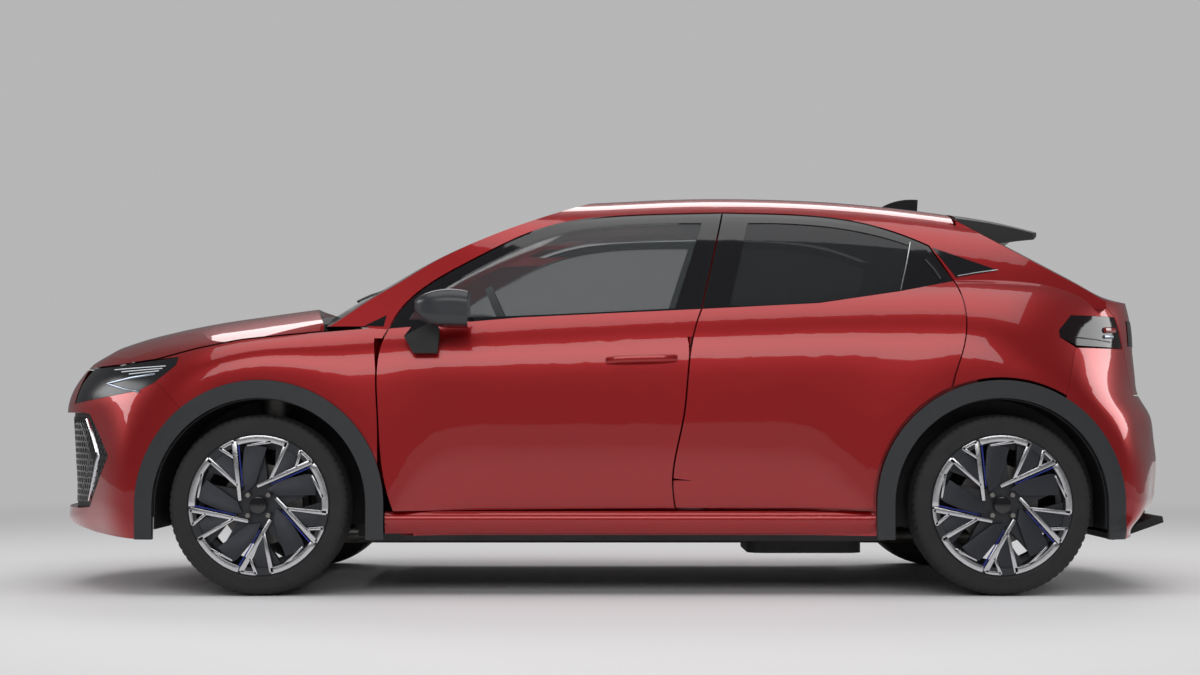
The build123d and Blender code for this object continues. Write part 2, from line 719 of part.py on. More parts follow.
def facing_prism(draw, grow=0.0):
    """A prism along the car over an outline drawn on the front view."""
    with BuildPart() as prism:
        with BuildSketch(Plane.YZ.offset(along(-1400))):
            with BuildLine():
                draw()
            make_face()
            if grow:
                offset(amount=grow)
        extrude(amount=1600)
    return prism.part


SCREEN_INSET = 2.0            # how far the glass lies in from the pillars' skin
with BuildPart() as screen_room:
    add(screen_wall(-20, 20 + SKIN))
    keep(facing_prism(screen_outline, PIN_CLEARANCE))

TAILGATE_FRONT_X = along(1262)
TAILGATE_GAP = 6.0
TAILGATE_HINGE_X = along(1225)
TAILGATE_HINGE_Z = up(1372)
TAILGATE_HINGE_Y = 250.0
HINGE_ARM_DROP = 40.0         # how far the tailgate's hinge arms dip to pass under the roof's edge


def roof_plan(grow):
    rear = TAILGATE_FRONT_X - TAILGATE_GAP - 2 + grow
    Polyline((along(-700), -ROOF_HALF - grow), (rear, -ROOF_HALF - grow), (rear, ROOF_HALF + grow),
             (along(-700), ROOF_HALF + grow), close=True)


with BuildPart() as roof_panel:
    add(roof_wall(0, SKIN))
    keep(plan_prism(lambda: roof_plan(0), up(900), up(1500)))
    cut(ahead_of_screen)
    for middle_y in (-TAILGATE_HINGE_Y, TAILGATE_HINGE_Y):
        cut(left_block(TAILGATE_HINGE_X - 14, TAILGATE_FRONT_X, middle_y - 9, middle_y + 9, up(1300),
                       TAILGATE_HINGE_Z + 14))
        add(disc_across(TAILGATE_HINGE_X, middle_y - 10, TAILGATE_HINGE_Z, HINGE_PIN_R, 20))
save("roof_panel", roof_panel)

with BuildPart() as windscreen:
    add(screen_wall(SCREEN_INSET, GLASS))
    keep(facing_prism(screen_outline, -PIN_CLEARANCE))
    cut(roof_wall(0, -OUTSIDE))
    cut(roof_panel.part)
save("windscreen", windscreen)

# ---------------------------------------------------------------- body sides
def tailgate_facing(grow=0.0):
    """Front-view outline of the tailgate: wide at the roof and waist, drawn in beside the lamps."""
    with BuildPart() as prism:
        with BuildSketch(Plane.YZ.offset(along(1240))):
            with BuildLine():
                half = [(0, up(706)), (out(560), up(706)), (out(574), up(868)), (out(574), up(986)),
                        (out(600), up(1040)), (out(612), up(1100)), (out(572), up(1290)), (out(545), up(1420)),
                        (0, up(1420))]
                Polyline(*half)
                Polyline(*[(-y, z) for y, z in half])
            make_face()
            if grow:
                offset(amount=grow)
        extrude(amount=1000)
    return prism.part


LOWER_LINE = [(-905, 207), (-905, 930), (-784, 930), (-316, 971), (322, 1001), (741, 1022), (1034, 1066),
              (1290, 1120), (1290, 207)]
UPPER_LINE = [(-1020, 1000), (-1020, 941), (-860, 941), (-784, 927), (-316, 965), (322, 995), (741, 1016), (1034, 1060),
              (1227, 1098), (1300, 1080), (1500, 1040), (1700, 1010), (1790, 1010), (1790, 1300), (1000, 1480),
              (-400, 1480), (-1000, 1160)]
TAIL_SEAM = [(1592, 620), (1596, 705), (1640, 851), (1650, 868)]        # between rear quarter and bumper
LAMP_TIP = [(1588, 905), (1588, 930), (1642, 985)]                      # between rear quarter and tail lamp
QUARTER_LINE = [(1229, 1112), (1252, 1010), (1246, 900), (1217, 801), (1193, 700), (1500, 560), *TAIL_SEAM,
                *LAMP_TIP, (1960, 985), (1960, 1110), (1740, 1200), (1229, 1200)]
PILLAR_DEPTH = 70.0
SILL_SETBACK = SKIN + SEAM

with BuildPart() as lower_frame:
    add(side_wall(SILL_SETBACK, DOOR_DEPTH - SILL_SETBACK, -960, 1400))
    keep(side_polygon(*LOWER_LINE))
    cut(front_plug_room)
    cut(rear_plug_room)
    cut(wheel_cylinder(FRONT_AXLE_X, ARCH_R, 0))
    cut(wheel_cylinder(REAR_AXLE_X, ARCH_R, 0))
    cut(sweep_room(FRONT_HINGE_X))
    cut(sweep_room(REAR_HINGE_X))



def cabin_frame(inset, inner_y):
    """The pillars and roof rail of the left side, from a depth under the skin to PILLAR_DEPTH."""
    with BuildPart() as frame:
        add(house_wall(inset, PILLAR_DEPTH - inset))
        keep(side_polygon(*UPPER_LINE))
        cut(ahead_of_screen)
        cut(above_tailgate)
        cut(screen_room.part)
        split(bisect_by=Plane.XZ.offset(inner_y), keep=Keep.TOP)
    return frame.part


RAIL_INSET = SKIN + 13.0      # the roof rail's inner part lies under the roof panel
with BuildPart() as upper_frame:
    add(cabin_frame(0, ROOF_HALF + SEAM))
    add(cabin_frame(RAIL_INSET, ROOF_HALF - 45))

with BuildPart() as apertures:
    add(front_aperture)
    add(rear_aperture)
with BuildPart() as window_frame_room:
    add(house_wall(-20, FRAME_DEPTH + 20 + SHUT_GAP))
    keep(apertures.part)

with BuildPart() as quarter:
    add(rear_wall(0, SKIN + 20))
    keep(side_polygon(*QUARTER_LINE, grow=-SEAM / 2))
    cut(above_tailgate)
    cut(wheel_cylinder(REAR_AXLE_X, TAIL_CUT_R, 0))
    cut(rear_aperture)

INNER_Y = out(745)            # inner face of the sills and of the wall above them
with BuildPart() as inner_box:
    with BuildSketch(Plane.XY.offset(up(100))):
        Rectangle(5000, 2 * INNER_Y)
    extrude(amount=up(905) - up(100))
inner_room = inner_box.part
with BuildPart() as body_side:
    add(upper_frame.part)
    cut(front_plug_room)
    cut(rear_plug_room)
    add(lower_frame.part)
    add(quarter.part)
    cut(window_frame_room.part)
    cut(front_fender.part)
    add(hinge_leaves(FRONT_HINGE_X))
    add(hinge_leaves(REAR_HINGE_X))
    cut(inner_room)
    cut(tailgate_facing(TAILGATE_GAP))
    cut(side_polygon(*BONNET_EDGE[-3:], (-860, 941), (-1010, 941), (-1010, 1200), (-1400, 1200), grow=SHUT_GAP / 2))
save_pair("body_side", body_side)

# ---------------------------------------------------------------- tailgate
TAIL_LAMP_LINE = [*LAMP_TIP, (2100, 985), (2100, 870), (1800, 872), (1652, 876)]
TAILGATE_DEPTH = 34.0


def window_facing(grow=0.0):
    with BuildPart() as prism:
        with BuildSketch(Plane.YZ.offset(along(1240))):
            with BuildLine():
                Polyline((-out(545), up(1112)), (out(545), up(1112)), (out(500), up(1318)), (-out(500), up(1318)),
                         close=True)
            make_face()
            if grow:
                offset(amount=grow)
        extrude(amount=900)
    return prism.part


with BuildPart() as behind_tail:
    add(left_block(along(1700), along(2300), 0, out(800), up(880), up(1190)))
    cut(rear_wall(0, 1100))
with BuildPart() as tail_face:
    add(rear_wall(0, SKIN))
    keep(tailgate_facing())
    keep(side_polygon((1850, 704), (2200, 704), (2200, 1200), (1700, 1200)))
    cut(above_tailgate)
    split(bisect_by=Plane.XZ, keep=Keep.TOP)
with BuildPart() as hinge_arm:
    with BuildSketch(Plane.XZ.offset(TAILGATE_HINGE_Y - 4)):
        with Locations((TAILGATE_HINGE_X, TAILGATE_HINGE_Z)):
            Circle(9)
        with BuildLine():
            x, z = TAILGATE_HINGE_X, TAILGATE_HINGE_Z
            Polyline((x - 6, z), (x + 6, z), (x + 6, z - HINGE_ARM_DROP + 6), (x + 86, z - HINGE_ARM_DROP + 6),
                     (x + 86, z - HINGE_ARM_DROP - 6), (x - 6, z - HINGE_ARM_DROP - 6), close=True)
        make_face()
        with Locations((TAILGATE_HINGE_X, TAILGATE_HINGE_Z)):
            Circle(HINGE_PIN_R + PIN_CLEARANCE, mode=Mode.SUBTRACT)
    extrude(amount=8)
with BuildPart() as tailgate_half:
    add(sheet(tailgate_z, *TAILGATE_SPAN, 0, TAILGATE_DEPTH))
    split(bisect_by=Plane.YZ.offset(TAILGATE_FRONT_X), keep=Keep.TOP)
    split(bisect_by=Plane.XZ, keep=Keep.TOP)
    keep(tailgate_facing())
    cut(behind_tail.part)
    cut(window_facing())
    add(tail_face.part)
    add(hinge_arm.part)
with BuildPart() as tailgate:
    add(tailgate_half.part)
    mirror(about=Plane.XZ)
save("tailgate", tailgate)

with BuildPart() as rear_window:
    add(sheet(tailgate_z, 1262, 1960, out(700), 3, GLASS))
    keep(window_facing(-PIN_CLEARANCE))
save("rear_window", rear_window)

SPOILER_HALF = out(556)
spoiler_line = along_curve((1230, up(1398)), (1270, up(1393)), (1400, up(1374)), (1500, up(1352)), (1600, up(1326)))
spoiler_under_line = along_curve((1360, up(1300)), (1420, up(1302)), (1500, up(1312)), (1600, up(1320)))


def crowned(line):
    """A surface with the tailgate's crown over a line along the car."""
    return lambda x, y: line(x) - TAILGATE_CROWN * (abs(y) / out(620)) ** 2.5


def spoiler_plan():
    side, tip = along(1545), along(1588)
    Polyline((side, -SPOILER_HALF), (TAILGATE_FRONT_X + 4, -SPOILER_HALF), (TAILGATE_FRONT_X + 4, SPOILER_HALF),
             (side, SPOILER_HALF))
    Spline((side, SPOILER_HALF), (tip - 6, out(430)), (tip, 0), (tip - 6, -out(430)), (side, -SPOILER_HALF))


with BuildPart() as rear_spoiler:
    add(sheet(crowned(spoiler_line), 1240, 1600, out(620), 0, 90))
    cut(sheet(tailgate_z, 1240, 1700, out(640), -PIN_CLEARANCE, 120))
    cut(sheet(crowned(spoiler_under_line), 1360, 1620, out(640), 0, 120))
    keep(plan_prism(spoiler_plan, up(1200), up(1450)))
save("rear_spoiler", rear_spoiler)

# ---------------------------------------------------------------- rear bumper and lamps
with BuildPart() as rear_bumper_half:
    add(rear_wall(0, SKIN + 10))
    keep(side_polygon(*TAIL_SEAM, (2200, 868), (2200, 250), (1800, 196), (1560, 196), (1560, 600), grow=-SEAM / 2))
    cut(wheel_cylinder(REAR_AXLE_X, CLADDING_R + SEAM, 0))
    cut(tailgate_facing(TAILGATE_GAP))
    split(bisect_by=Plane.XZ, keep=Keep.TOP)
with BuildPart() as rear_bumper:
    add(rear_bumper_half.part)
    mirror(about=Plane.XZ)
save("rear_bumper", rear_bumper)

with BuildPart() as tail_lamp:
    add(rear_wall(1, SKIN + 24))
    keep(side_prism(lambda: Polyline(*design(TAIL_LAMP_LINE), close=True), -SEAM / 2))
    cut(tailgate_facing(TAILGATE_GAP))
save_both("tail_lamps", tail_lamp)

with BuildPart() as tailgate_lamp:
    add(rear_wall(-2, 6))
    keep(side_polygon((1900, 880), (2200, 880), (2200, 976), (1900, 976)))
    keep(tailgate_facing(-3))
    split(bisect_by=Plane.XZ.offset(out(330)), keep=Keep.TOP)
    cut(tailgate.part)
save_both("tailgate_lamps", tailgate_lamp)

# ---------------------------------------------------------------- trim outside
def arch_ring(axle_x, inner, outer, low_z):
    """Side-view ring of a wheel arch, with its legs run straight down to low_z."""
    left, right = axle_x - outer, axle_x + outer
    ThreePointArc((left, TYRE_R), (axle_x, TYRE_R + outer), (right, TYRE_R))
    Polyline((right, TYRE_R), (right, low_z), (axle_x + inner, low_z), (axle_x + inner, TYRE_R))
    ThreePointArc((axle_x + inner, TYRE_R), (axle_x, TYRE_R + inner), (axle_x - inner, TYRE_R))
    Polyline((axle_x - inner, TYRE_R), (axle_x - inner, low_z), (left, low_z), (left, TYRE_R))


CLADDING_LOW_Z = 196.0
CLADDING_DEPTH = 30.0
CLADDING_SWEEP_R = 63.0       # the front door's flared corner swings in behind the cladding
with BuildPart() as front_cladding:
    add(front_wall(-CLADDING_PROUD, CLADDING_DEPTH))
    keep(side_prism(lambda: arch_ring(FRONT_AXLE_X, ARCH_R, CLADDING_R, CLADDING_LOW_Z)))
    cut(sweep_room(FRONT_HINGE_X, CLADDING_SWEEP_R))
with BuildPart() as rear_cladding:
    add(rear_wall(-CLADDING_PROUD, CLADDING_DEPTH))
    keep(side_prism(lambda: arch_ring(REAR_AXLE_X, ARCH_R, CLADDING_R, CLADDING_LOW_Z)))
with BuildPart() as claddings:
    add(front_cladding.part)
    add(rear_cladding.part)
save_both("arch_cladding", claddings)

with BuildPart() as sill_cover:
    with BuildSketch(Plane.YZ.offset(FRONT_AXLE_X + CLADDING_R + 2)):
        with BuildLine():
            y = -out(852)
            sill_edge = Spline((y + 26, 294), (y + 4, 288), (y - 6, 268), (y + 2, 240), (y + 20, 216))
            Polyline(sill_edge @ 1, (y + 60, 212), (y + 60, 294), sill_edge @ 0)
        make_face()
    extrude(amount=REAR_AXLE_X - FRONT_AXLE_X - 2 * CLADDING_R - 4)
    cut(body_side.part)
save_both("sill_covers", sill_cover)

with BuildPart() as rear_diffuser:
    with BuildSketch(Plane.XZ.offset(-out(520))):
        with BuildLine():
            Polyline(*design([(1830, 197), (1990, 262), (2016, 262), (2020, 240), (1840, 176), (1830, 176)]), close=True)
        make_face()
    extrude(amount=2 * out(520))
    cut(rear_bumper.part)
save("rear_diffuser", rear_diffuser)

QUARTER_WINDOW = [(1160, 1232), (1240, 1122), (1396, 1150)]
with BuildPart() as quarter_trim:
    add(house_wall(-1.5, 6))
    keep(side_polygon(*QUARTER_WINDOW))
    cut(body_side.part)
with BuildPart() as sail_trim:
    add(house_wall(-1.5, 6))
    keep(side_polygon((-868, 946), (-800, 944), (-790, 985)))
    cut(body_side.part)
with BuildPart() as quarter_windows:
    add(quarter_trim.part)
    add(sail_trim.part)
save_both("quarter_windows", quarter_windows)

COWL_DROP = 10.0              # how far the cowl lies under the bonnet's lower face
with BuildPart() as cowl_panel:
    add(sheet(bonnet_z, -1170, -820, out(620), BONNET_DEPTH + COWL_DROP, 6))
    cut(plan_prism(lambda: hood_rear_edge(-45), up(500), up(1200)))
    cut(screen_wall(SCREEN_INSET - PIN_CLEARANCE, OUTSIDE))
save("cowl_panel", cowl_panel)

with BuildPart() as roof_antenna:
    with BuildSketch(Plane.XZ):
        with BuildLine():
            Spline(*design([(1040, 1424), (1085, 1452), (1140, 1468), (1206, 1470)]))
            Polyline(*design([(1206, 1470), (1200, 1380), (1040, 1380), (1040, 1424)]))
        make_face()
    extrude(amount=9, both=True)
    cut(roof_wall(-0.3, 60))
save("roof_antenna", roof_antenna)

# ---------------------------------------------------------------- floor and front structure
REAR_WELL_Y = 636.0           # inner wall of a rear wheel arch
FRONT_WELL_Y = 470.0          # inner wall of a front wheel arch
LINER_THICKNESS = 5.0
FLOOR_DEPTH = 30.0
FLOOR_TOP = FLOOR_Z + FLOOR_DEPTH
TUNNEL_TOP = FLOOR_TOP + 110
FIREWALL_X = along(-905)
BULKHEAD_X = along(970)       # the step up from the cabin floor to the boot floor
BULKHEAD_DEPTH = 40.0
BOOT_FLOOR_Z = 420.0
BOOT_FLOOR_TOP = BOOT_FLOOR_Z + FLOOR_DEPTH
RADIATOR_X = along(-1870)
FLOOR_REAR_X = along(1845)
RAIL_LOW_Z = 375.0            # underside of the front side rails
RAIL_TOP_Z = 485.0
RAIL_Y = FRONT_WELL_Y - 40
REAR_RAIL_Y = REAR_WELL_Y - 60
REAR_RAIL_LOW_Z = 366.0

STRUT_X = FRONT_AXLE_X + 20
STRUT_Y = 560.0
TOWER_Z = 786.0


def slab(x_low, x_high, half_y, z_low, z_high):
    """A block across the car."""
    with BuildPart() as block:
        with BuildSketch(Plane.XY.offset(z_low)):
            with Locations(((x_low + x_high) / 2, 0)):
                Rectangle(x_high - x_low, 2 * half_y)
        extrude(amount=z_high - z_low)
    return block.part


def well_space(axle_x, radius, inner_y):
    """The left wheel arch as a solid, from inner_y out past the body side and down past the floor."""
    with BuildPart() as space:
        with BuildSketch(Plane.XZ.offset(inner_y)):
            with BuildLine():
                left, right = axle_x - radius, axle_x + radius
                ThreePointArc((left, TYRE_R), (axle_x, TYRE_R + radius), (right, TYRE_R))
                Polyline((right, TYRE_R), (right, 100), (left, 100), (left, TYRE_R))
            make_face()
        extrude(amount=HALF_WIDTH + 60 - inner_y)
    return space.part


front_well = well_space(FRONT_AXLE_X, ARCH_R, FRONT_WELL_Y)
with BuildPart() as floor_pan:
    add(slab(FIREWALL_X, BULKHEAD_X, INNER_Y, FLOOR_Z, FLOOR_TOP))
    add(slab(BULKHEAD_X - 10, FLOOR_REAR_X, REAR_WELL_Y, BOOT_FLOOR_Z, BOOT_FLOOR_TOP))
    add(slab(BULKHEAD_X - BULKHEAD_DEPTH / 2, BULKHEAD_X + BULKHEAD_DEPTH / 2, REAR_WELL_Y, FLOOR_Z, BOOT_FLOOR_TOP))
    add(slab(FIREWALL_X - 15, FIREWALL_X + 15, INNER_Y, FLOOR_Z, up(900)))
    add(slab(FIREWALL_X, BULKHEAD_X, 120, FLOOR_Z, TUNNEL_TOP))
    add(slab(RADIATOR_X, RADIATOR_X + 30, 480, up(560) - 30, up(560) + 30))
    add(slab(RADIATOR_X, RADIATOR_X + 30, 480, 300, 360))
    for side in (-1, 1):
        with BuildSketch(Plane.YZ.offset(RADIATOR_X)):
            with Locations((side * RAIL_Y, (RAIL_LOW_Z + RAIL_TOP_Z) / 2)):
                Rectangle(70, RAIL_TOP_Z - RAIL_LOW_Z)
        extrude(amount=FIREWALL_X - RADIATOR_X)
        with BuildSketch(Plane.YZ.offset(RADIATOR_X)):
            with Locations((side * 450, (up(560) + 330) / 2)):
                Rectangle(60, up(560) - 330 + 60)
        extrude(amount=30)
        with BuildSketch(Plane.YZ.offset(along(-1500))):
            with Locations((side * (FRONT_WELL_Y - 11), (RAIL_TOP_Z - 40 + TOWER_Z + 14) / 2)):
                Rectangle(22, TOWER_Z + 14 - RAIL_TOP_Z + 40)
        extrude(amount=FIREWALL_X - along(-1500))
        with BuildSketch(Plane.YZ.offset(BULKHEAD_X)):
            with Locations((side * REAR_RAIL_Y, (REAR_RAIL_LOW_Z + BOOT_FLOOR_Z + 10) / 2)):
                Rectangle(70, BOOT_FLOOR_Z + 10 - REAR_RAIL_LOW_Z)
        extrude(amount=FLOOR_REAR_X - BULKHEAD_X)
    for side in (-1, 1):
        plate_y = side * (BONNET_HINGE_Y + PIN_CLEARANCE + BRACKET_THICKNESS / 2) - BRACKET_THICKNESS / 2
        with BuildSketch(Plane.XZ.offset(plate_y)):
            with Locations((BONNET_HINGE_X, BONNET_HINGE_Z)):
                Circle(9)
            with BuildLine():
                x, z = BONNET_HINGE_X, BONNET_HINGE_Z
                Polyline((x - 9, z), (x + 4, z + 8), (x + 34, z - 28), (FIREWALL_X, up(898)), (FIREWALL_X, up(850)),
                         (x + 20, z - 60), close=True)
            make_face()
        extrude(amount=BRACKET_THICKNESS)
        pin_y = side * (BONNET_HINGE_Y - BONNET_BOSS / 2) - BONNET_BOSS / 2 - 1
        with BuildSketch(Plane.XZ.offset(pin_y)):
            with Locations((BONNET_HINGE_X, BONNET_HINGE_Z)):
                Circle(HINGE_PIN_R)
        extrude(amount=BONNET_BOSS + 2)
    cut(front_well)
    cut(front_well.mirror(Plane.XZ))
    for side in (-1, 1):
        with BuildSketch(Plane.XY.offset(TOWER_Z)):
            with Locations((STRUT_X, side * (FRONT_WELL_Y + 70))):
                Rectangle(230, 220)
        extrude(amount=14)
save("floor_pan", floor_pan)

LINER_LOW_Z = 230.0


def wheel_liner(axle_x, inner_y, opening):
    """A wheel arch liner: an arched wall and an inner side wall with an opening for the suspension."""
    with BuildPart() as liner:
        add(well_space(axle_x, ARCH_R - PIN_CLEARANCE, inner_y + PIN_CLEARANCE))
        cut(well_space(axle_x, ARCH_R - LINER_THICKNESS, inner_y + LINER_THICKNESS))
        split(bisect_by=Plane.XZ.offset(out(828)), keep=Keep.BOTTOM)
        split(bisect_by=Plane.XY.offset(LINER_LOW_Z), keep=Keep.TOP)
        with BuildSketch(Plane.XZ.offset(inner_y - 10)):
            with Locations((axle_x, 330)):
                Rectangle(opening, 260)
        extrude(amount=30, mode=Mode.SUBTRACT)
    return liner


front_liner = wheel_liner(FRONT_AXLE_X, FRONT_WELL_Y, 300)
rear_liner = wheel_liner(REAR_AXLE_X, REAR_WELL_Y, 180)
with BuildPart() as liners:
    add(front_liner.part)
    with BuildSketch(Plane.XY.offset(500)):
        with Locations((STRUT_X, -STRUT_Y)):
            Circle(75)
    extrude(amount=300, mode=Mode.SUBTRACT)
    add(rear_liner.part)
save_both("arch_liners", liners)

# ---------------------------------------------------------------- engine and running gear
SUBFRAME_LOW_Z = 215.0
SUBFRAME_TOP_Z = 275.0
SUBFRAME_X = FRONT_AXLE_X + 60
ARM_LOW_Z = 205.0
ARM_TOP_Z = 227.0
with BuildPart() as engine_block:
    with BuildSketch(Plane.XY.offset(SUBFRAME_TOP_Z)):
        with Locations((along(-1330), 0)):
            Rectangle(440, 700)
    extrude(amount=up(780) - SUBFRAME_TOP_Z)
    fillet(engine_block.edges().filter_by(Axis.Z), 30)
save("engine_block", engine_block)

HUB_FACE_Y = WHEEL_Y + 40     # where the wheel bolts to the hub
KINGPIN_Y = WHEEL_Y - KINGPIN_INSET
KINGPIN_R = 24.0
KINGPIN_TOP_Z = 440.0
SPINDLE_R = 22.0
SPINDLE_END_Y = HUB_FACE_Y + 20

with BuildPart() as front_suspension:
    add(slab(SUBFRAME_X - 80, SUBFRAME_X + 80, RAIL_Y + 25, SUBFRAME_LOW_Z, SUBFRAME_TOP_Z))
    for side in (-1, 1):
        with BuildSketch(Plane.XY.offset(SUBFRAME_TOP_Z)):
            with Locations((SUBFRAME_X - 45, side * RAIL_Y), (SUBFRAME_X + 45, side * RAIL_Y)):
                Circle(22)
        extrude(amount=RAIL_LOW_Z - SUBFRAME_TOP_Z)
        with BuildSketch(Plane.XY.offset(ARM_LOW_Z)):
            with BuildLine():
                Polyline((FRONT_AXLE_X - 20, side * KINGPIN_Y), (FRONT_AXLE_X + 20, side * KINGPIN_Y),
                         (FRONT_AXLE_X + 140, side * 400), (FRONT_AXLE_X - 20, side * 400), close=True)
            make_face()
            with Locations((FRONT_AXLE_X, side * KINGPIN_Y)):
                Circle(KINGPIN_R)
        extrude(amount=ARM_TOP_Z - ARM_LOW_Z)
        with BuildSketch(Plane.XY.offset(580)):
            with Locations((STRUT_X, side * STRUT_Y)):
                Circle(60)
        extrude(amount=TOWER_Z - 580)
        with BuildSketch(Plane.XY.offset(KINGPIN_TOP_Z)):
            with Locations((STRUT_X, side * STRUT_Y)):
                Circle(26)
        extrude(amount=160)
        with BuildSketch(Plane.XY.offset(KINGPIN_TOP_Z)):
            with BuildLine():
                Polyline((STRUT_X - 24, side * STRUT_Y), (STRUT_X + 24, side * STRUT_Y),
                         (FRONT_AXLE_X + 18, side * KINGPIN_Y), (FRONT_AXLE_X - 18, side * KINGPIN_Y), close=True)
            make_face()
            with Locations((FRONT_AXLE_X, side * KINGPIN_Y)):
                Circle(KINGPIN_R)
        extrude(amount=24)
save("front_suspension", front_suspension)

with BuildPart() as knuckle:
    with BuildSketch(Plane.XY.offset(ARM_TOP_Z + PIN_CLEARANCE)):
        with Locations((FRONT_AXLE_X, -KINGPIN_Y)):
            Circle(KINGPIN_R)
    extrude(amount=KINGPIN_TOP_Z - ARM_TOP_Z - 2 * PIN_CLEARANCE)
    with BuildSketch(Plane.XZ.offset(KINGPIN_Y - 12)):
        with Locations((FRONT_AXLE_X, TYRE_R)):
            Circle(58)
    extrude(amount=30)
    with BuildSketch(Plane.XZ.offset(KINGPIN_Y)):
        with Locations((FRONT_AXLE_X, TYRE_R)):
            Circle(SPINDLE_R)
    extrude(amount=SPINDLE_END_Y - KINGPIN_Y)
    with BuildSketch(Plane.XY.offset(270)):
        with Locations((FRONT_AXLE_X + 60, -KINGPIN_Y + 8)):
            Rectangle(140, 24)
    extrude(amount=22)
save_pair("knuckle", knuckle)

TRAILING_ARM_Y = 600.0
TRAILING_ARM_X = BULKHEAD_X + BULKHEAD_DEPTH / 2
with BuildPart() as rear_axle:
    with BuildSketch(Plane.XZ.offset(-TRAILING_ARM_Y)):
        with Locations((along(1130), 300)):
            Circle(36)
    extrude(amount=2 * TRAILING_ARM_Y)
    for side in (-1, 1):
        with BuildSketch(Plane.XZ.offset(side * TRAILING_ARM_Y - 24)):
            with BuildLine():
                Polyline((TRAILING_ARM_X, 270), (TRAILING_ARM_X, 340), (REAR_AXLE_X, 352),
                         (REAR_AXLE_X + 44, TYRE_R), (REAR_AXLE_X, 276), close=True)
            make_face()
        extrude(amount=48)
        with BuildSketch(Plane.XZ.offset(-side * TRAILING_ARM_Y)):
            with Locations((REAR_AXLE_X, TYRE_R)):
                Circle(SPINDLE_R)
        extrude(amount=-side * (SPINDLE_END_Y - TRAILING_ARM_Y))
save("rear_axle", rear_axle)

EXHAUST_R = 27.0
with BuildPart() as exhaust:
    with BuildSketch(Plane.YZ.offset(SUBFRAME_X + 80)):
        with Locations((90, FLOOR_Z - EXHAUST_R)):
            Circle(EXHAUST_R)
    extrude(amount=along(1450) - SUBFRAME_X - 80)
    with BuildSketch(Plane.YZ.offset(along(1450))):
        with Locations((180, BOOT_FLOOR_Z - 175)):
            SlotOverall(420, 150)
    extrude(amount=330)
    with BuildSketch(Plane.XY.offset(BOOT_FLOOR_Z - 175)):
        with Locations((along(1520), 180), (along(1720), 180)):
            Rectangle(40, 60)
    extrude(amount=175)
save("exhaust", exhaust)

with BuildPart() as fuel_tank:
    with BuildSketch(Plane.XY.offset(FLOOR_Z - 62)):
        with Locations((along(720), -200)):
            RectangleRounded(420, 480, 60)
    extrude(amount=62)
save("fuel_tank", fuel_tank)

# ---------------------------------------------------------------- wheels
BEAD_R = 227.0
BEAD_HALF = 90.5              # half the distance between the tyre's beads
RIM_HALF = 97.0
FLANGE_R = 244.0
BARREL_R = 205.0
DISC_HAT_R = 74.0
SPOKES = 5

# Each wheel piece is made about the Y axis, outboard side towards -Y, then placed.


def wheel_profile(points):
    """Turn (distance outboard of the wheel's centre plane, radius) into a section on the YZ plane."""
    return [(-y, r) for y, r in points]


with BuildPart() as tyre:
    with BuildSketch(Plane.YZ):
        with BuildLine():
            half = TYRE_WIDTH / 2
            wall = ThreePointArc((BEAD_HALF, FLANGE_R + 2), (half, TYRE_R - 38), (half - 14, TYRE_R - 5))
            ThreePointArc(wall @ 1, (0, TYRE_R), (14 - half, TYRE_R - 5))
            mirror(wall, about=Plane.YZ)
            Polyline((BEAD_HALF, FLANGE_R + 2), (BEAD_HALF, BEAD_R), (-BEAD_HALF, BEAD_R), (-BEAD_HALF, FLANGE_R + 2))
        make_face()
    revolve(axis=Axis.Y)

with BuildSketch() as spoke_pair:
    for root_high, root_low, tip_high, tip_low in ((44, -14, 86, 58), (-50, -44, -24, 10)):
        with BuildLine():
            Polyline((20 if root_high > 0 else 60, root_high), (BARREL_R + 14, tip_high), (BARREL_R + 14, tip_low),
                     (60 if root_high > 0 else 20, root_low), close=True)
        make_face()
    Circle(BEAD_R - 8, mode=Mode.INTERSECT)

with BuildPart() as rim:
    with BuildSketch(Plane.YZ):
        with BuildLine():
            Polyline(*wheel_profile([
                (RIM_HALF, FLANGE_R), (BEAD_HALF + 0.3, FLANGE_R), (BEAD_HALF + 0.3, BEAD_R - 0.3), (62, BEAD_R - 0.3),
                (48, BARREL_R), (-20, BARREL_R), (-40, BEAD_R - 0.3), (-BEAD_HALF - 0.3, BEAD_R - 0.3),
                (-BEAD_HALF - 0.3, FLANGE_R), (-RIM_HALF, FLANGE_R), (-RIM_HALF, BEAD_R - 8), (-34, BEAD_R - 8),
                (-16, BARREL_R - 8), (44, BARREL_R - 8), (56, BEAD_R - 12), (RIM_HALF, BEAD_R - 8)]), close=True)
        make_face()
    revolve(axis=Axis.Y)
    with BuildSketch(Plane.XZ.offset(HUB_FACE_Y - WHEEL_Y)):
        Circle(78)
        with PolarLocations(0, SPOKES):
            add(spoke_pair.sketch)
        Circle(SPINDLE_R + 0.1, mode=Mode.SUBTRACT)
        with PolarLocations(BOLT_CIRCLE / 2, 4, start_angle=45):
            Circle(BOLT_R, mode=Mode.SUBTRACT)
    extrude(amount=34)

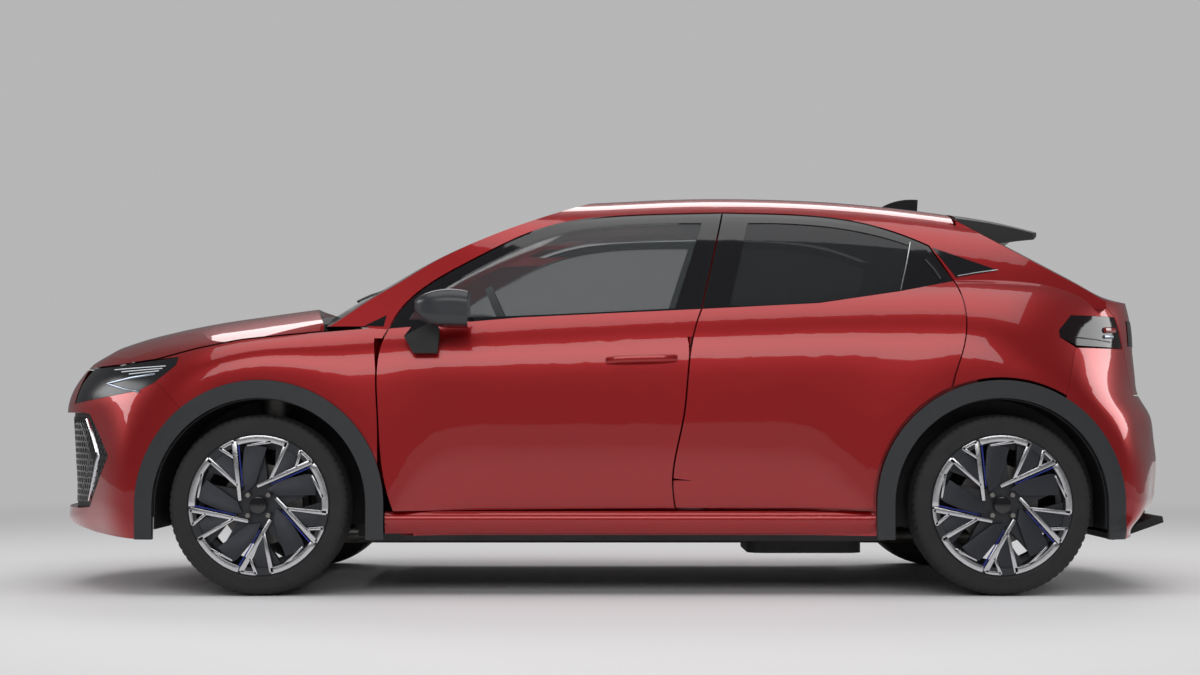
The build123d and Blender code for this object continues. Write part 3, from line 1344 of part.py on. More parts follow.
with BuildPart() as disc:
    with BuildSketch(Plane.XZ.offset(-14)):
        Circle(DISC_R)
        Circle(DISC_HAT_R - 8, mode=Mode.SUBTRACT)
    extrude(amount=DISC_THICKNESS)
    with BuildSketch(Plane.XZ.offset(-14)):
        Circle(DISC_HAT_R)
        Circle(DISC_HAT_R - 8, mode=Mode.SUBTRACT)
    extrude(amount=HUB_FACE_Y - WHEEL_Y + 14)
    with BuildSketch(Plane.XZ.offset(HUB_FACE_Y - WHEEL_Y)):
        Circle(DISC_HAT_R)
        Circle(SPINDLE_R + 0.1, mode=Mode.SUBTRACT)
        with PolarLocations(BOLT_CIRCLE / 2, 4, start_angle=45):
            Circle(BOLT_R, mode=Mode.SUBTRACT)
    extrude(amount=-8)

for end, axle_x in (("front", FRONT_AXLE_X), ("rear", REAR_AXLE_X)):
    for label, source in (("tyre", tyre), ("rim", rim), ("brake_disc", disc)):
        with BuildPart() as placed:
            with Locations((axle_x, -WHEEL_Y, TYRE_R)):
                add(source.part)
        save_pair(f"{end}_{label}", placed)

# ---------------------------------------------------------------- door mirrors
MIRROR_FRONT_X = along(-676)
with BuildPart() as door_mirror:
    for dx, dz, half_wide, half_high in ((0, 8, 30, 20), (50, 0, 78, 55), (120, 0, 92, 66), (186, -4, 90, 62)):
        with BuildSketch(Plane.YZ.offset(MIRROR_FRONT_X + dx)):
            with Locations((-out(915), up(1000) + dz)):
                RectangleRounded(2 * half_wide, 2 * half_high, min(half_wide, half_high) * 0.7)
    loft()
    with BuildSketch(Plane.XZ.offset(out(780))):
        with BuildLine():
            Polyline(*design([(-718, 905), (-685, 846), (-602, 846), (-594, 932), (-620, 964), (-672, 964)]), close=True)
        make_face()
    extrude(amount=out(885) - out(780))
    cut(front_door.part)
save_pair("door_mirror", door_mirror)

# ---------------------------------------------------------------- cabin
SEAT_Y = 370.0
WHEEL_TILT = 24.0             # the steering column rises towards the driver
STEERING_X, STEERING_Z = along(-372), up(930)
STEERING_R = 178.0
STEERING_HUB = 13.0           # half the depth of the steering wheel's hub

column_plane = Plane(origin=(STEERING_X, -SEAT_Y, STEERING_Z),
                     z_dir=(cos(radians(WHEEL_TILT)), 0, sin(radians(WHEEL_TILT))), x_dir=(0, 1, 0))
with BuildPart() as steering_wheel:
    with BuildSketch(column_plane):
        Circle(STEERING_R + 14)
        Circle(STEERING_R - 14, mode=Mode.SUBTRACT)
        Rectangle(2 * STEERING_R, 40)
        Circle(60)
    extrude(amount=STEERING_HUB, both=True)
save("steering_wheel", steering_wheel)

DASH_HALF = out(660)
with BuildPart() as dashboard:
    with BuildSketch(Plane.XZ.offset(-DASH_HALF)):
        with BuildLine():
            face_x = FIREWALL_X + 15
            top = Spline((face_x, up(880)), *design([(-760, 935), (-600, 940), (-520, 900)]))
            Polyline(top @ 1, *design([(-500, 820), (-560, 640), (-700, 560)]), (face_x, up(560)), top @ 0)
        make_face()
    extrude(amount=2 * DASH_HALF)
    with BuildSketch(column_plane.offset(-STEERING_HUB - PIN_CLEARANCE)):
        Circle(32)
    extrude(amount=-200)
save("dashboard", dashboard)

with BuildPart() as front_seats:
    for side in (-1, 1):
        with BuildSketch(Plane.XZ.offset(-side * SEAT_Y - 245)):
            with BuildLine():
                Polyline(*design([(-270, 470), (-250, 560), (190, 530), (330, 1010), (430, 1010), (330, 440),
                                  (200, 400), (-250, 400)]), close=True)
            make_face()
        extrude(amount=490)
        with BuildSketch(Plane.XZ.offset(-side * SEAT_Y - 120)):
            with BuildLine():
                Polyline(*design([(345, 1010), (360, 1200), (440, 1200), (415, 1010)]), close=True)
            make_face()
        extrude(amount=240)
        with BuildSketch(Plane.XY.offset(FLOOR_TOP)):
            with Locations((along(20), side * SEAT_Y)):
                Rectangle(400, 400)
        extrude(amount=up(400) - FLOOR_TOP)
save("front_seats", front_seats)

with BuildPart() as rear_bench:
    with BuildSketch(Plane.XZ.offset(-610)):
        with BuildLine():
            front_x = BULKHEAD_X - BULKHEAD_DEPTH / 2
            Polyline(*design([(560, 360), (560, 520), (600, 560), (980, 530), (1110, 1000), (1190, 1000),
                              (1130, 560)]), (along(1130), BOOT_FLOOR_TOP), (front_x, BOOT_FLOOR_TOP),
                     (front_x, up(360)), close=True)
        make_face()
    extrude(amount=1220)
save("rear_bench", rear_bench)

with BuildPart() as centre_console:
    with BuildSketch(Plane.XZ.offset(-105)):
        with BuildLine():
            Polyline((along(-640), TUNNEL_TOP), *design([(-640, 555), (-400, 560), (-250, 500), (250, 520)]),
                     (along(300), TUNNEL_TOP), close=True)
        make_face()
    extrude(amount=210)
save("centre_console", centre_console)
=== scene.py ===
"""Looks of the five-door hatchback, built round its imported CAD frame."""

from math import cos, hypot, pi, radians, sin, sqrt

import bpy
from mathutils import Matrix, Vector
from mathutils.bvhtree import BVHTree


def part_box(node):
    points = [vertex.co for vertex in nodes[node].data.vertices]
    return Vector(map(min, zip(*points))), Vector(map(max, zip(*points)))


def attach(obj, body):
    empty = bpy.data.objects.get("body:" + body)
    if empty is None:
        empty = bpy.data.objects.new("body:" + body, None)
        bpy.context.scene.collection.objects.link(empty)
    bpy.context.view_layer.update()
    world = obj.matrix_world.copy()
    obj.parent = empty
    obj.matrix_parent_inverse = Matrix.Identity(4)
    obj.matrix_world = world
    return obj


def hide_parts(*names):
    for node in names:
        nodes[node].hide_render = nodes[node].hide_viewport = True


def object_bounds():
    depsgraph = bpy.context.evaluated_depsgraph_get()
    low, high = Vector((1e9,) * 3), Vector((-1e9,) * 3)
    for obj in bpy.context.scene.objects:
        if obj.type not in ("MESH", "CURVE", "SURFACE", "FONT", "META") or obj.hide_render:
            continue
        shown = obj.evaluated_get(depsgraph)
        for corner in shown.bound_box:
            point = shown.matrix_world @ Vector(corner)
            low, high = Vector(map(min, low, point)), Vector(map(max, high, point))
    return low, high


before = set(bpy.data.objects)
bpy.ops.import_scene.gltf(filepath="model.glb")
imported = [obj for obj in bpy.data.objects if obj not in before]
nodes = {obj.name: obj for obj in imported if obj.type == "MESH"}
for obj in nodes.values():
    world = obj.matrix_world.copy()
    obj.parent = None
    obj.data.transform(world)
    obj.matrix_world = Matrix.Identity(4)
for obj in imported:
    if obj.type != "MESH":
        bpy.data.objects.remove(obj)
cad_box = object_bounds()

# ---------------------------------------------------------------- sizes and places, in metres
SIDES = (("left", -1), ("right", 1))
FRONT_AXLE_X, REAR_AXLE_X = -1.224, 1.367
WHEEL_Y = 0.774
TYRE_R = 0.316
BELT = ((-1.01, 0.925), (-0.784, 0.930), (-0.316, 0.971), (0.322, 1.001), (0.741, 1.022), (1.034, 1.066),
        (1.227, 1.104), (1.5, 1.170))


def line_at(points, x):
    """Height of a side-view line at x."""
    for (xa, za), (xb, zb) in zip(points, points[1:]):
        if x <= xb:
            return za + (zb - za) * (x - xa) / (xb - xa)
    return points[-1][1]


# ---------------------------------------------------------------- studio
BACKGROUND = (0.47, 0.47, 0.475, 1)
FLOOR_NEAR, FLOOR_FAR = 2.4, 9.0    # the floor fades into the background between these distances


def make_camera():
    """Side view from the car's left, a little above sill height and tipped up slightly."""
    data = bpy.data.cameras.new("camera")
    data.sensor_width = 36.0
    data.lens = 64.71
    camera = bpy.data.objects.new("camera", data)
    bpy.context.collection.objects.link(camera)
    camera.location = (-0.034, -8.4, 0.62)
    camera.rotation_euler = (radians(90 + 2.135), 0, 0)
    bpy.context.scene.camera = camera


def add_area(name, place, aim, size, power):
    data = bpy.data.lights.new(name, "AREA")
    data.shape = "RECTANGLE"
    data.size, data.size_y = size
    data.energy = power
    lamp = bpy.data.objects.new(name, data)
    bpy.context.collection.objects.link(lamp)
    lamp.location = place
    lamp.rotation_euler = (Vector(aim) - Vector(place)).to_track_quat("-Z", "Y").to_euler()


def make_studio():
    bpy.ops.mesh.primitive_plane_add(size=60, location=(0, 0, 0))
    floor = bpy.context.object
    floor.name = "studio_floor"
    material = bpy.data.materials.new("studio_floor")
    material.use_nodes = True
    shader = material.node_tree.nodes["Principled BSDF"]
    shader.inputs["Base Color"].default_value = (0.95, 0.95, 0.96, 1)
    shader.inputs["Roughness"].default_value = 0.6
    tree = material.node_tree
    place = tree.nodes.new("ShaderNodeTexCoord")
    reach = tree.nodes.new("ShaderNodeVectorMath")
    reach.operation = "LENGTH"
    fade = tree.nodes.new("ShaderNodeMapRange")
    fade.interpolation_type = "SMOOTHSTEP"
    fade.inputs["From Min"].default_value = FLOOR_NEAR
    fade.inputs["From Max"].default_value = FLOOR_FAR
    far = tree.nodes.new("ShaderNodeEmission")
    far.inputs["Color"].default_value = BACKGROUND
    blend = tree.nodes.new("ShaderNodeMixShader")
    tree.links.new(place.outputs["Object"], reach.inputs[0])
    tree.links.new(reach.outputs["Value"], fade.inputs["Value"])
    tree.links.new(fade.outputs["Result"], blend.inputs["Fac"])
    tree.links.new(shader.outputs["BSDF"], blend.inputs[1])
    tree.links.new(far.outputs["Emission"], blend.inputs[2])
    tree.links.new(blend.outputs["Shader"], tree.nodes["Material Output"].inputs["Surface"])
    floor.data.materials.append(material)
    world = bpy.data.worlds.new("studio")
    world.use_nodes = True
    tree = world.node_tree
    back = tree.nodes["Background"]
    back.inputs["Color"].default_value = (0.62, 0.62, 0.63, 1)
    back.inputs["Strength"].default_value = 0.22
    shown = tree.nodes.new("ShaderNodeBackground")
    shown.inputs["Color"].default_value = BACKGROUND
    shown.inputs["Strength"].default_value = 1.0
    path = tree.nodes.new("ShaderNodeLightPath")
    mix = tree.nodes.new("ShaderNodeMixShader")
    tree.links.new(path.outputs["Is Camera Ray"], mix.inputs["Fac"])
    tree.links.new(back.outputs["Background"], mix.inputs[1])
    tree.links.new(shown.outputs["Background"], mix.inputs[2])
    tree.links.new(mix.outputs["Shader"], tree.nodes["World Output"].inputs["Surface"])
    bpy.context.scene.world = world
    add_area("overhead", (0, -1.2, 4.6), (0, 0, 0.6), (7.0, 3.6), 120)
    add_area("side_left", (-0.5, -6.5, 3.4), (0, 0, 0.6), (7.0, 2.2), 120)
    add_area("side_right", (0.5, 4.8, 5.4), (0, 0, 0.4), (8.0, 2.4), 150)
    add_area("ahead", (-6.5, 0.0, 2.8), (0, 0, 0.6), (3.0, 1.6), 65)
    add_area("behind", (6.5, 0.0, 2.8), (0, 0, 0.6), (3.0, 1.6), 65)


# ---------------------------------------------------------------- shader groups
def new_group(name, inputs, outputs):
    group = bpy.data.node_groups.new(name, "ShaderNodeTree")
    for label, kind, value in inputs:
        socket = group.interface.new_socket(label, in_out="INPUT", socket_type=kind)
        socket.default_value = value
    for label, kind in outputs:
        group.interface.new_socket(label, in_out="OUTPUT", socket_type=kind)
    return group, group.nodes.new("NodeGroupInput"), group.nodes.new("NodeGroupOutput")


def make_mottle():
    """A slow, soft colour and gloss variation over the surface."""
    inputs = [("Scale", "NodeSocketFloat", 4.0), ("Low", "NodeSocketFloat", 0.9),
              ("High", "NodeSocketFloat", 1.05)]
    group, given, out = new_group("mottle", inputs, [("Value", "NodeSocketFloat")])
    nodes_, links = group.nodes, group.links
    place = nodes_.new("ShaderNodeTexCoord")
    noise = nodes_.new("ShaderNodeTexNoise")
    noise.inputs["Detail"].default_value = 3.0
    spread = nodes_.new("ShaderNodeMapRange")
    links.new(place.outputs["Object"], noise.inputs["Vector"])
    links.new(given.outputs["Scale"], noise.inputs["Scale"])
    links.new(noise.outputs["Fac"], spread.inputs["Value"])
    spread.inputs["From Min"].default_value = 0.3
    spread.inputs["From Max"].default_value = 0.7
    links.new(given.outputs["Low"], spread.inputs["To Min"])
    links.new(given.outputs["High"], spread.inputs["To Max"])
    links.new(spread.outputs["Result"], out.inputs["Value"])
    return group


def make_grain():
    """Fine raised grain, as on moulded plastic or cast metal."""
    inputs = [("Scale", "NodeSocketFloat", 900.0)]
    group, given, out = new_group("grain", inputs, [("Height", "NodeSocketFloat")])
    nodes_, links = group.nodes, group.links
    place = nodes_.new("ShaderNodeTexCoord")
    cells = nodes_.new("ShaderNodeTexVoronoi")
    links.new(place.outputs["Object"], cells.inputs["Vector"])
    links.new(given.outputs["Scale"], cells.inputs["Scale"])
    links.new(cells.outputs["Distance"], out.inputs["Height"])
    return group


MOTTLE = make_mottle()
GRAIN = make_grain()


def material(name, colour, roughness, metallic=0.0, mottle=(4.0, 0.93, 1.05), grain=None, gloss_change=0.0,
             **sockets):
    """A Principled material with a soft colour variation, an optional fine grain and set extra sockets."""
    made = bpy.data.materials.new(name)
    made.use_nodes = True
    tree = made.node_tree
    shader = tree.nodes["Principled BSDF"]
    shader.inputs["Metallic"].default_value = metallic
    shader.inputs["Roughness"].default_value = roughness
    value = tree.nodes.new("ShaderNodeGroup")
    value.node_tree = MOTTLE
    for label, number in zip(("Scale", "Low", "High"), mottle):
        value.inputs[label].default_value = number
    tint = tree.nodes.new("ShaderNodeHueSaturation")
    tint.inputs["Color"].default_value = (*colour, 1)
    tree.links.new(value.outputs["Value"], tint.inputs["Value"])
    tree.links.new(tint.outputs["Color"], shader.inputs["Base Color"])
    if gloss_change:
        rough = tree.nodes.new("ShaderNodeGroup")
        rough.node_tree = MOTTLE
        rough.inputs["Scale"].default_value = mottle[0] * 5
        rough.inputs["Low"].default_value = roughness - gloss_change
        rough.inputs["High"].default_value = roughness + gloss_change
        tree.links.new(rough.outputs["Value"], shader.inputs["Roughness"])
    if grain:
        scale, strength, distance = grain
        height = tree.nodes.new("ShaderNodeGroup")
        height.node_tree = GRAIN
        height.inputs["Scale"].default_value = scale
        bump = tree.nodes.new("ShaderNodeBump")
        bump.inputs["Strength"].default_value = strength
        bump.inputs["Distance"].default_value = distance
        tree.links.new(height.outputs["Height"], bump.inputs["Height"])
        tree.links.new(bump.outputs["Normal"], shader.inputs["Normal"])
    for label, value_ in sockets.items():
        shader.inputs[label.replace("_", " ")].default_value = value_
    return made


RED = material("red_paint", (0.36, 0.0015, 0.004), 0.34, 0.55, (1.5, 0.97, 1.03), Coat_Weight=1.0,
               Coat_Roughness=0.03)
GLOSS_BLACK = material("gloss_black", (0.008, 0.008, 0.010), 0.08, Coat_Weight=0.5, Coat_Roughness=0.03)
CLADDING = material("satin_cladding", (0.030, 0.032, 0.036), 0.42, grain=(1400, 0.15, 0.0003),
                    gloss_change=0.04)
BLACK_PLASTIC = material("black_plastic", (0.014, 0.014, 0.015), 0.6, grain=(900, 0.2, 0.0004),
                         gloss_change=0.05)
GLASS = material("clear_glass", (0.55, 0.60, 0.60), 0.02, mottle=(2, 0.99, 1.01), Transmission_Weight=1.0,
                 IOR=1.45, Alpha=0.35)
DARK_GLASS = material("tinted_glass", (0.03, 0.032, 0.035), 0.03, mottle=(2, 0.98, 1.02), Alpha=0.72)
SIDE_GLASS = material("side_glass", (0.10, 0.11, 0.115), 0.03, mottle=(2, 0.98, 1.02), Alpha=0.35)
RUBBER = material("tyre_rubber", (0.018, 0.018, 0.019), 0.62, grain=(700, 0.25, 0.0004), gloss_change=0.06)
ALLOY = material("machined_alloy", (0.62, 0.62, 0.64), 0.22, 1.0, (30, 0.95, 1.04), gloss_change=0.05)
DARK_ALLOY = material("dark_alloy", (0.05, 0.052, 0.058), 0.35, 0.6, gloss_change=0.05)
IRON = material("turned_iron", (0.22, 0.21, 0.20), 0.42, 0.9, (12, 0.75, 1.1), gloss_change=0.08)
UNDERBODY = material("underbody", (0.045, 0.045, 0.047), 0.7, mottle=(6, 0.8, 1.1), grain=(400, 0.3, 0.0006))
STEEL = material("exhaust_steel", (0.30, 0.29, 0.27), 0.38, 0.95, (9, 0.7, 1.1), gloss_change=0.08)
CABIN = material("cabin_plastic", (0.022, 0.022, 0.024), 0.55, grain=(1100, 0.3, 0.0003), gloss_change=0.05)
SEAT = material("seat_cloth", (0.030, 0.031, 0.034), 0.85, mottle=(60, 0.85, 1.1), grain=(1600, 0.5, 0.0006))
LAMP_BODY = material("lamp_body", (0.02, 0.021, 0.024), 0.2, 0.3)
SMOKED = material("smoked_lens", (0.008, 0.004, 0.005), 0.07)
SPOILER = material("satin_black", (0.010, 0.010, 0.011), 0.34, gloss_change=0.03)
BLUE_LINE = material("blue_line", (0.03, 0.045, 0.30), 0.3, 0.4)
TREAD_RUBBER = material("tread_rubber", (0.016, 0.016, 0.017), 0.7, grain=(900, 0.3, 0.0004),
                        gloss_change=0.05)
LED = material("led_line", (0.80, 0.84, 0.88), 0.25, Emission_Color=(0.85, 0.92, 1.0, 1),
               Emission_Strength=0.08)
LAMP_FACET = material("lamp_facet", (0.30, 0.34, 0.40), 0.18, 0.9)
CHROME = material("bright_trim", (0.66, 0.67, 0.69), 0.16, 1.0, (20, 0.97, 1.03))
MIRROR = material("mirror_glass", (0.78, 0.80, 0.82), 0.02, 1.0, (3, 0.99, 1.01))
MIRROR_CAP = material("mirror_cap", (0.045, 0.047, 0.052), 0.30, 0.2, grain=(1500, 0.08, 0.0002),
                      gloss_change=0.03)
GRILLE_GREY = material("grille_grey", (0.085, 0.088, 0.094), 0.33, 0.3, gloss_change=0.04)
RED_LENS = material("red_lens", (0.30, 0.008, 0.010), 0.08, Coat_Weight=0.6)

PLAIN = {
    RED: ("body_side_left", "body_side_right", "front_fender_left", "front_fender_right", "front_bumper",
          "bonnet", "tailgate", "rear_bumper", "front_door_left", "front_door_right", "rear_door_left",
          "rear_door_right", "roof_panel", "sill_covers"),
    SPOILER: ("rear_spoiler",),
    GLOSS_BLACK: ("roof_antenna", "quarter_windows", "door_mirror_left", "door_mirror_right"),
    BLACK_PLASTIC: ("grille", "arch_liners", "cowl_panel", "rear_diffuser"),
    CLADDING: ("arch_cladding",),
    GLASS: ("windscreen",),
    SIDE_GLASS: ("front_door_glass_left", "front_door_glass_right"),
    DARK_GLASS: ("rear_door_glass_left", "rear_door_glass_right", "rear_window"),
    LAMP_BODY: ("headlamps",),
    SMOKED: ("tailgate_lamps",),
    RUBBER: tuple(f"{end}_tyre_{side}" for end in ("front", "rear") for side, _ in SIDES),
    IRON: (*(f"{end}_brake_disc_{side}" for end in ("front", "rear") for side, _ in SIDES),
           "knuckle_left", "knuckle_right", "front_suspension", "rear_axle", "engine_block"),
    UNDERBODY: ("floor_pan", "fuel_tank"),
    STEEL: ("exhaust",),
    CABIN: ("dashboard", "steering_wheel", "centre_console"),
    SEAT: ("front_seats", "rear_bench"),
}


def give(node, *materials):
    """Set a CAD node's material slots."""
    data = nodes[node].data
    data.materials.clear()
    for made in materials:
        data.materials.append(made)


for made, names in PLAIN.items():
    for name in names:
        give(name, made)

for side, _ in SIDES:
    for name in (f"front_door_{side}", f"rear_door_{side}"):
        give(name, RED, GLOSS_BLACK)
        for face in nodes[name].data.polygons:
            face.material_index = 1 if face.center.z > line_at(BELT, face.center.x) + 0.002 else 0


MIRROR_PARTS = (MIRROR_CAP, MIRROR, GLOSS_BLACK, BLACK_PLASTIC)
MIRROR_FOOT_Z, MIRROR_BAND_Z = 0.915, 0.945
FACES_REARWARDS = 0.75


def mirror_part(face):
    """Which of the mirror's materials a face takes: the foot, the glass, the lower band or the cap."""
    if face.center.z < MIRROR_FOOT_Z:
        return MIRROR_PARTS.index(BLACK_PLASTIC)
    if face.normal.x > FACES_REARWARDS:
        return MIRROR_PARTS.index(MIRROR)
    return MIRROR_PARTS.index(GLOSS_BLACK if face.center.z < MIRROR_BAND_Z else MIRROR_CAP)


for side, _ in SIDES:
    for end in ("front", "rear"):
        give(f"{end}_rim_{side}", DARK_ALLOY)
    give(f"door_mirror_{side}", *MIRROR_PARTS)
    for face in nodes[f"door_mirror_{side}"].data.polygons:
        face.material_index = mirror_part(face)
give("tail_lamps", SMOKED)


# ---------------------------------------------------------------- helpers for new pieces
def surface_of(*names):
    """A search tree over some CAD nodes' outer faces."""
    corners, faces = [], []
    for name in names:
        first = len(corners)
        corners += [vertex.co.copy() for vertex in nodes[name].data.vertices]
        faces += [[first + i for i in face.vertices] for face in nodes[name].data.polygons]
    return BVHTree.FromPolygons(corners, faces)


def seen_from(tree, start, way, proud):
    """The point where a line of sight meets a surface, moved back towards the eye by proud."""
    hit = tree.ray_cast(Vector(start), Vector(way))[0]
    return None if hit is None else hit - Vector(way) * proud


def on_side(tree, points, proud):
    found = [seen_from(tree, (x, -1.5, z), (0, 1, 0), proud) for x, z in points]
    return [point for point in found if point]


def on_end(tree, points, proud, way=1):
    found = [seen_from(tree, (-3.0 * way, y, z), (way, 0, 0), proud) for y, z in points]
    return [point for point in found if point]


def on_top(tree, points, proud):
    found = [seen_from(tree, (x, y, 2.0), (0, 0, -1), proud) for x, y in points]
    return [point for point in found if point]


def between(points, count):
    """Points spread evenly by parameter along a chain of points."""
    spread = []
    for k in range(count):
        t = k / (count - 1) * (len(points) - 1)
        i = min(int(t), len(points) - 2)
        spread.append(tuple(a + (b - a) * (t - i) for a, b in zip(points[i], points[i + 1])))
    return spread


def own(piece, made, body, angle=35):
    """Give a finished new piece its material and body, with its place in its mesh."""
    bpy.ops.object.select_all(action="DESELECT")
    piece.select_set(True)
    bpy.context.view_layer.objects.active = piece
    bpy.ops.object.transform_apply(location=True, rotation=True, scale=True)
    bpy.ops.object.shade_smooth_by_angle(angle=radians(angle))
    piece.data.materials.clear()
    piece.data.materials.append(made)
    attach(piece, body)
    return piece


def rod(name, points, radius, made, body, squeeze=(1, 1, 1), smooth=False):
    """A round or flattened bar through some points."""
    bpy.ops.object.select_all(action="DESELECT")
    curve = bpy.data.curves.new(name, "CURVE")
    curve.dimensions = "3D"
    curve.bevel_depth = radius
    curve.bevel_resolution = 2
    curve.use_fill_caps = True
    spline = curve.splines.new("NURBS" if smooth else "POLY")
    spline.points.add(len(points) - 1)
    for corner, point in zip(spline.points, points):
        corner.co = (*point, 1)
    if smooth:
        spline.order_u = 3
        spline.use_endpoint_u = True
    piece = bpy.data.objects.new(name, curve)
    bpy.context.collection.objects.link(piece)
    piece.select_set(True)
    bpy.context.view_layer.objects.active = piece
    bpy.ops.object.convert(target="MESH")
    middle = sum((Vector(point) for point in points), Vector()) / len(points)
    for vertex in piece.data.vertices:
        away = vertex.co - middle
        vertex.co = middle + Vector(a * b for a, b in zip(away, squeeze))
    return own(piece, made, body)


def mirrored(piece, name, body):
    """The same piece on the car's right side."""
    bpy.ops.object.select_all(action="DESELECT")
    other = piece.copy()
    other.data = piece.data.copy()
    other.name = name
    bpy.context.collection.objects.link(other)
    for vertex in other.data.vertices:
        vertex.co.y *= -1
    other.data.flip_normals()
    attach(other, body)
    return other


def pair(stem, maker, body, slot):
    """A left piece and its mirror image; body may hold a place for the side's name."""
    left = maker(f"{stem}_left", body.format(side="left"), slot)
    return left, mirrored(left, f"{stem}_right", body.format(side="right"))


def laid_pair(stem, face, points, count, proud, radius, made, body, slot):
    """A rod laid along the left side's surface through side-view points, and its mirror image."""
    def lay(name, its_body, its_slot):
        return rod(name, on_side(face, between(points, count), proud), radius, made, its_body)

    pair(stem, lay, body, slot)


# ---------------------------------------------------------------- wheels
def ribbed(name, colour, roughness, metallic, scale):
    """A moulded panel with fine slanted ribs."""
    made = material(name, colour, roughness, metallic, gloss_change=0.04)
    tree = made.node_tree
    place = tree.nodes.new("ShaderNodeTexCoord")
    wave = tree.nodes.new("ShaderNodeTexWave")
    wave.bands_direction = "DIAGONAL"
    wave.inputs["Scale"].default_value = scale
    bump = tree.nodes.new("ShaderNodeBump")
    bump.inputs["Strength"].default_value = 0.6
    bump.inputs["Distance"].default_value = 0.0012
    tree.links.new(place.outputs["Object"], wave.inputs["Vector"])
    tree.links.new(wave.outputs["Fac"], bump.inputs["Height"])
    tree.links.new(bump.outputs["Normal"], tree.nodes["Principled BSDF"].inputs["Normal"])
    return made


BLADE = ribbed("wheel_blade", (0.040, 0.043, 0.052), 0.32, 0.5, 90)
FIFTH = 72


def polar(radius, angle):
    return (radius * cos(radians(angle)), radius * sin(radians(angle)))


def bar_outline(start, end, wide_start, wide_end):
    """A flat bar between two polar points, as wide as told at each end."""
    (xa, za), (xb, zb) = polar(*start), polar(*end)
    length = hypot(xb - xa, zb - za)
    ux, uz = -(zb - za) / length, (xb - xa) / length
    return [(xa + ux * wide_start / 2, za + uz * wide_start / 2),
            (xa - ux * wide_start / 2, za - uz * wide_start / 2),
            (xb - ux * wide_end / 2, zb - uz * wide_end / 2),
            (xb + ux * wide_end / 2, zb + uz * wide_end / 2)]


def arc_band(inner, outer, first, last):
    """A band of the rim's edge between two angles, as a row of flat quads."""
    steps = 10
    angles = [first + (last - first) * k / steps for k in range(steps + 1)]
    return [[polar(inner, a), polar(inner, b), polar(outer, b), polar(outer, a)]
            for a, b in zip(angles, angles[1:])]


BARS = [bar_outline((0.066, 94), (0.238, 39.5), 0.011, 0.018),
        bar_outline((0.100, 65), (0.238, 65.5), 0.010, 0.015),
        bar_outline((0.186, 45.5), (0.240, 52.5), 0.009, 0.011), *arc_band(0.232, 0.2435, 39.5, 52.5),
        *arc_band(0.222, 0.2435, 65.0, 109.0), bar_outline((0.225, 79), (0.212, 101), 0.010, 0.006)]
BLADES = [[polar(0.062, 62), polar(0.112, 50), polar(0.196, 33.5), polar(0.219, 29.5), polar(0.203, 10),
           polar(0.074, 27)],
          [polar(0.106, 62), polar(0.228, 63.5), polar(0.230, 54), polar(0.186, 48)]]
BLUES = [bar_outline((0.085, 59), (0.226, 36.2), 0.003, 0.005)]


def plates(name, outlines, depth, thickness, bevel, made):
    """Flat plates of the wheel's face, the five fifths of it, on a wheel at the origin facing the left."""
    corners, faces = [], []
    for fifth in range(5):
        turn = Matrix.Rotation(radians(-FIFTH * fifth), 3, "Y")
        for outline in outlines:
            faces.append(list(range(len(corners), len(corners) + len(outline))))
            corners += [tuple(turn @ Vector((x, depth, z))) for x, z in outline]
    mesh = bpy.data.meshes.new(name)
    mesh.from_pydata(corners, [], faces)
    piece = bpy.data.objects.new(name, mesh)
    bpy.context.collection.objects.link(piece)
    bpy.ops.object.select_all(action="DESELECT")
    piece.select_set(True)
    bpy.context.view_layer.objects.active = piece
    bpy.ops.object.mode_set(mode="EDIT")
    bpy.ops.mesh.select_all(action="SELECT")
    bpy.ops.mesh.remove_doubles(threshold=0.00005)
    bpy.ops.mesh.normals_make_consistent(inside=False)
    bpy.ops.object.mode_set(mode="OBJECT")
    for polygon in mesh.polygons:
        if polygon.normal.y > 0:
            polygon.flip()
    mesh.update()
    solid = piece.modifiers.new("thickness", "SOLIDIFY")
    solid.thickness = thickness
    solid.offset = -1
    bpy.ops.object.modifier_apply(modifier="thickness")
    if bevel:
        edge = piece.modifiers.new("edge", "BEVEL")
        edge.width = bevel
        edge.segments = 2
        edge.limit_method = "ANGLE"
        bpy.ops.object.modifier_apply(modifier="edge")
    piece.data.materials.append(made)
    return piece


def lathe(name, profile, steps, made, relief=None):
    """A closed ring turned about the wheel's axis from (y, radius) points; relief lowers some of them."""
    corners, faces = [], []
    count = len(profile)
    for k in range(steps):
        angle = 2 * pi * k / steps
        for i, (y, radius) in enumerate(profile):
            if relief:
                radius -= relief(k, i)
            corners.append((radius * cos(angle), y, radius * sin(angle)))
    for k in range(steps):
        for i in range(count):
            j, n = (i + 1) % count, (k + 1) % steps
            faces.append((k * count + i, k * count + j, n * count + j, n * count + i))
    mesh = bpy.data.meshes.new(name)
    mesh.from_pydata(corners, [], faces)
    piece = bpy.data.objects.new(name, mesh)
    bpy.context.collection.objects.link(piece)
    bpy.ops.object.select_all(action="DESELECT")
    piece.select_set(True)
    bpy.context.view_layer.objects.active = piece
    bpy.ops.object.mode_set(mode="EDIT")
    bpy.ops.mesh.select_all(action="SELECT")
    bpy.ops.mesh.normals_make_consistent(inside=False)
    bpy.ops.object.mode_set(mode="OBJECT")
    piece.data.materials.append(made)
    return piece


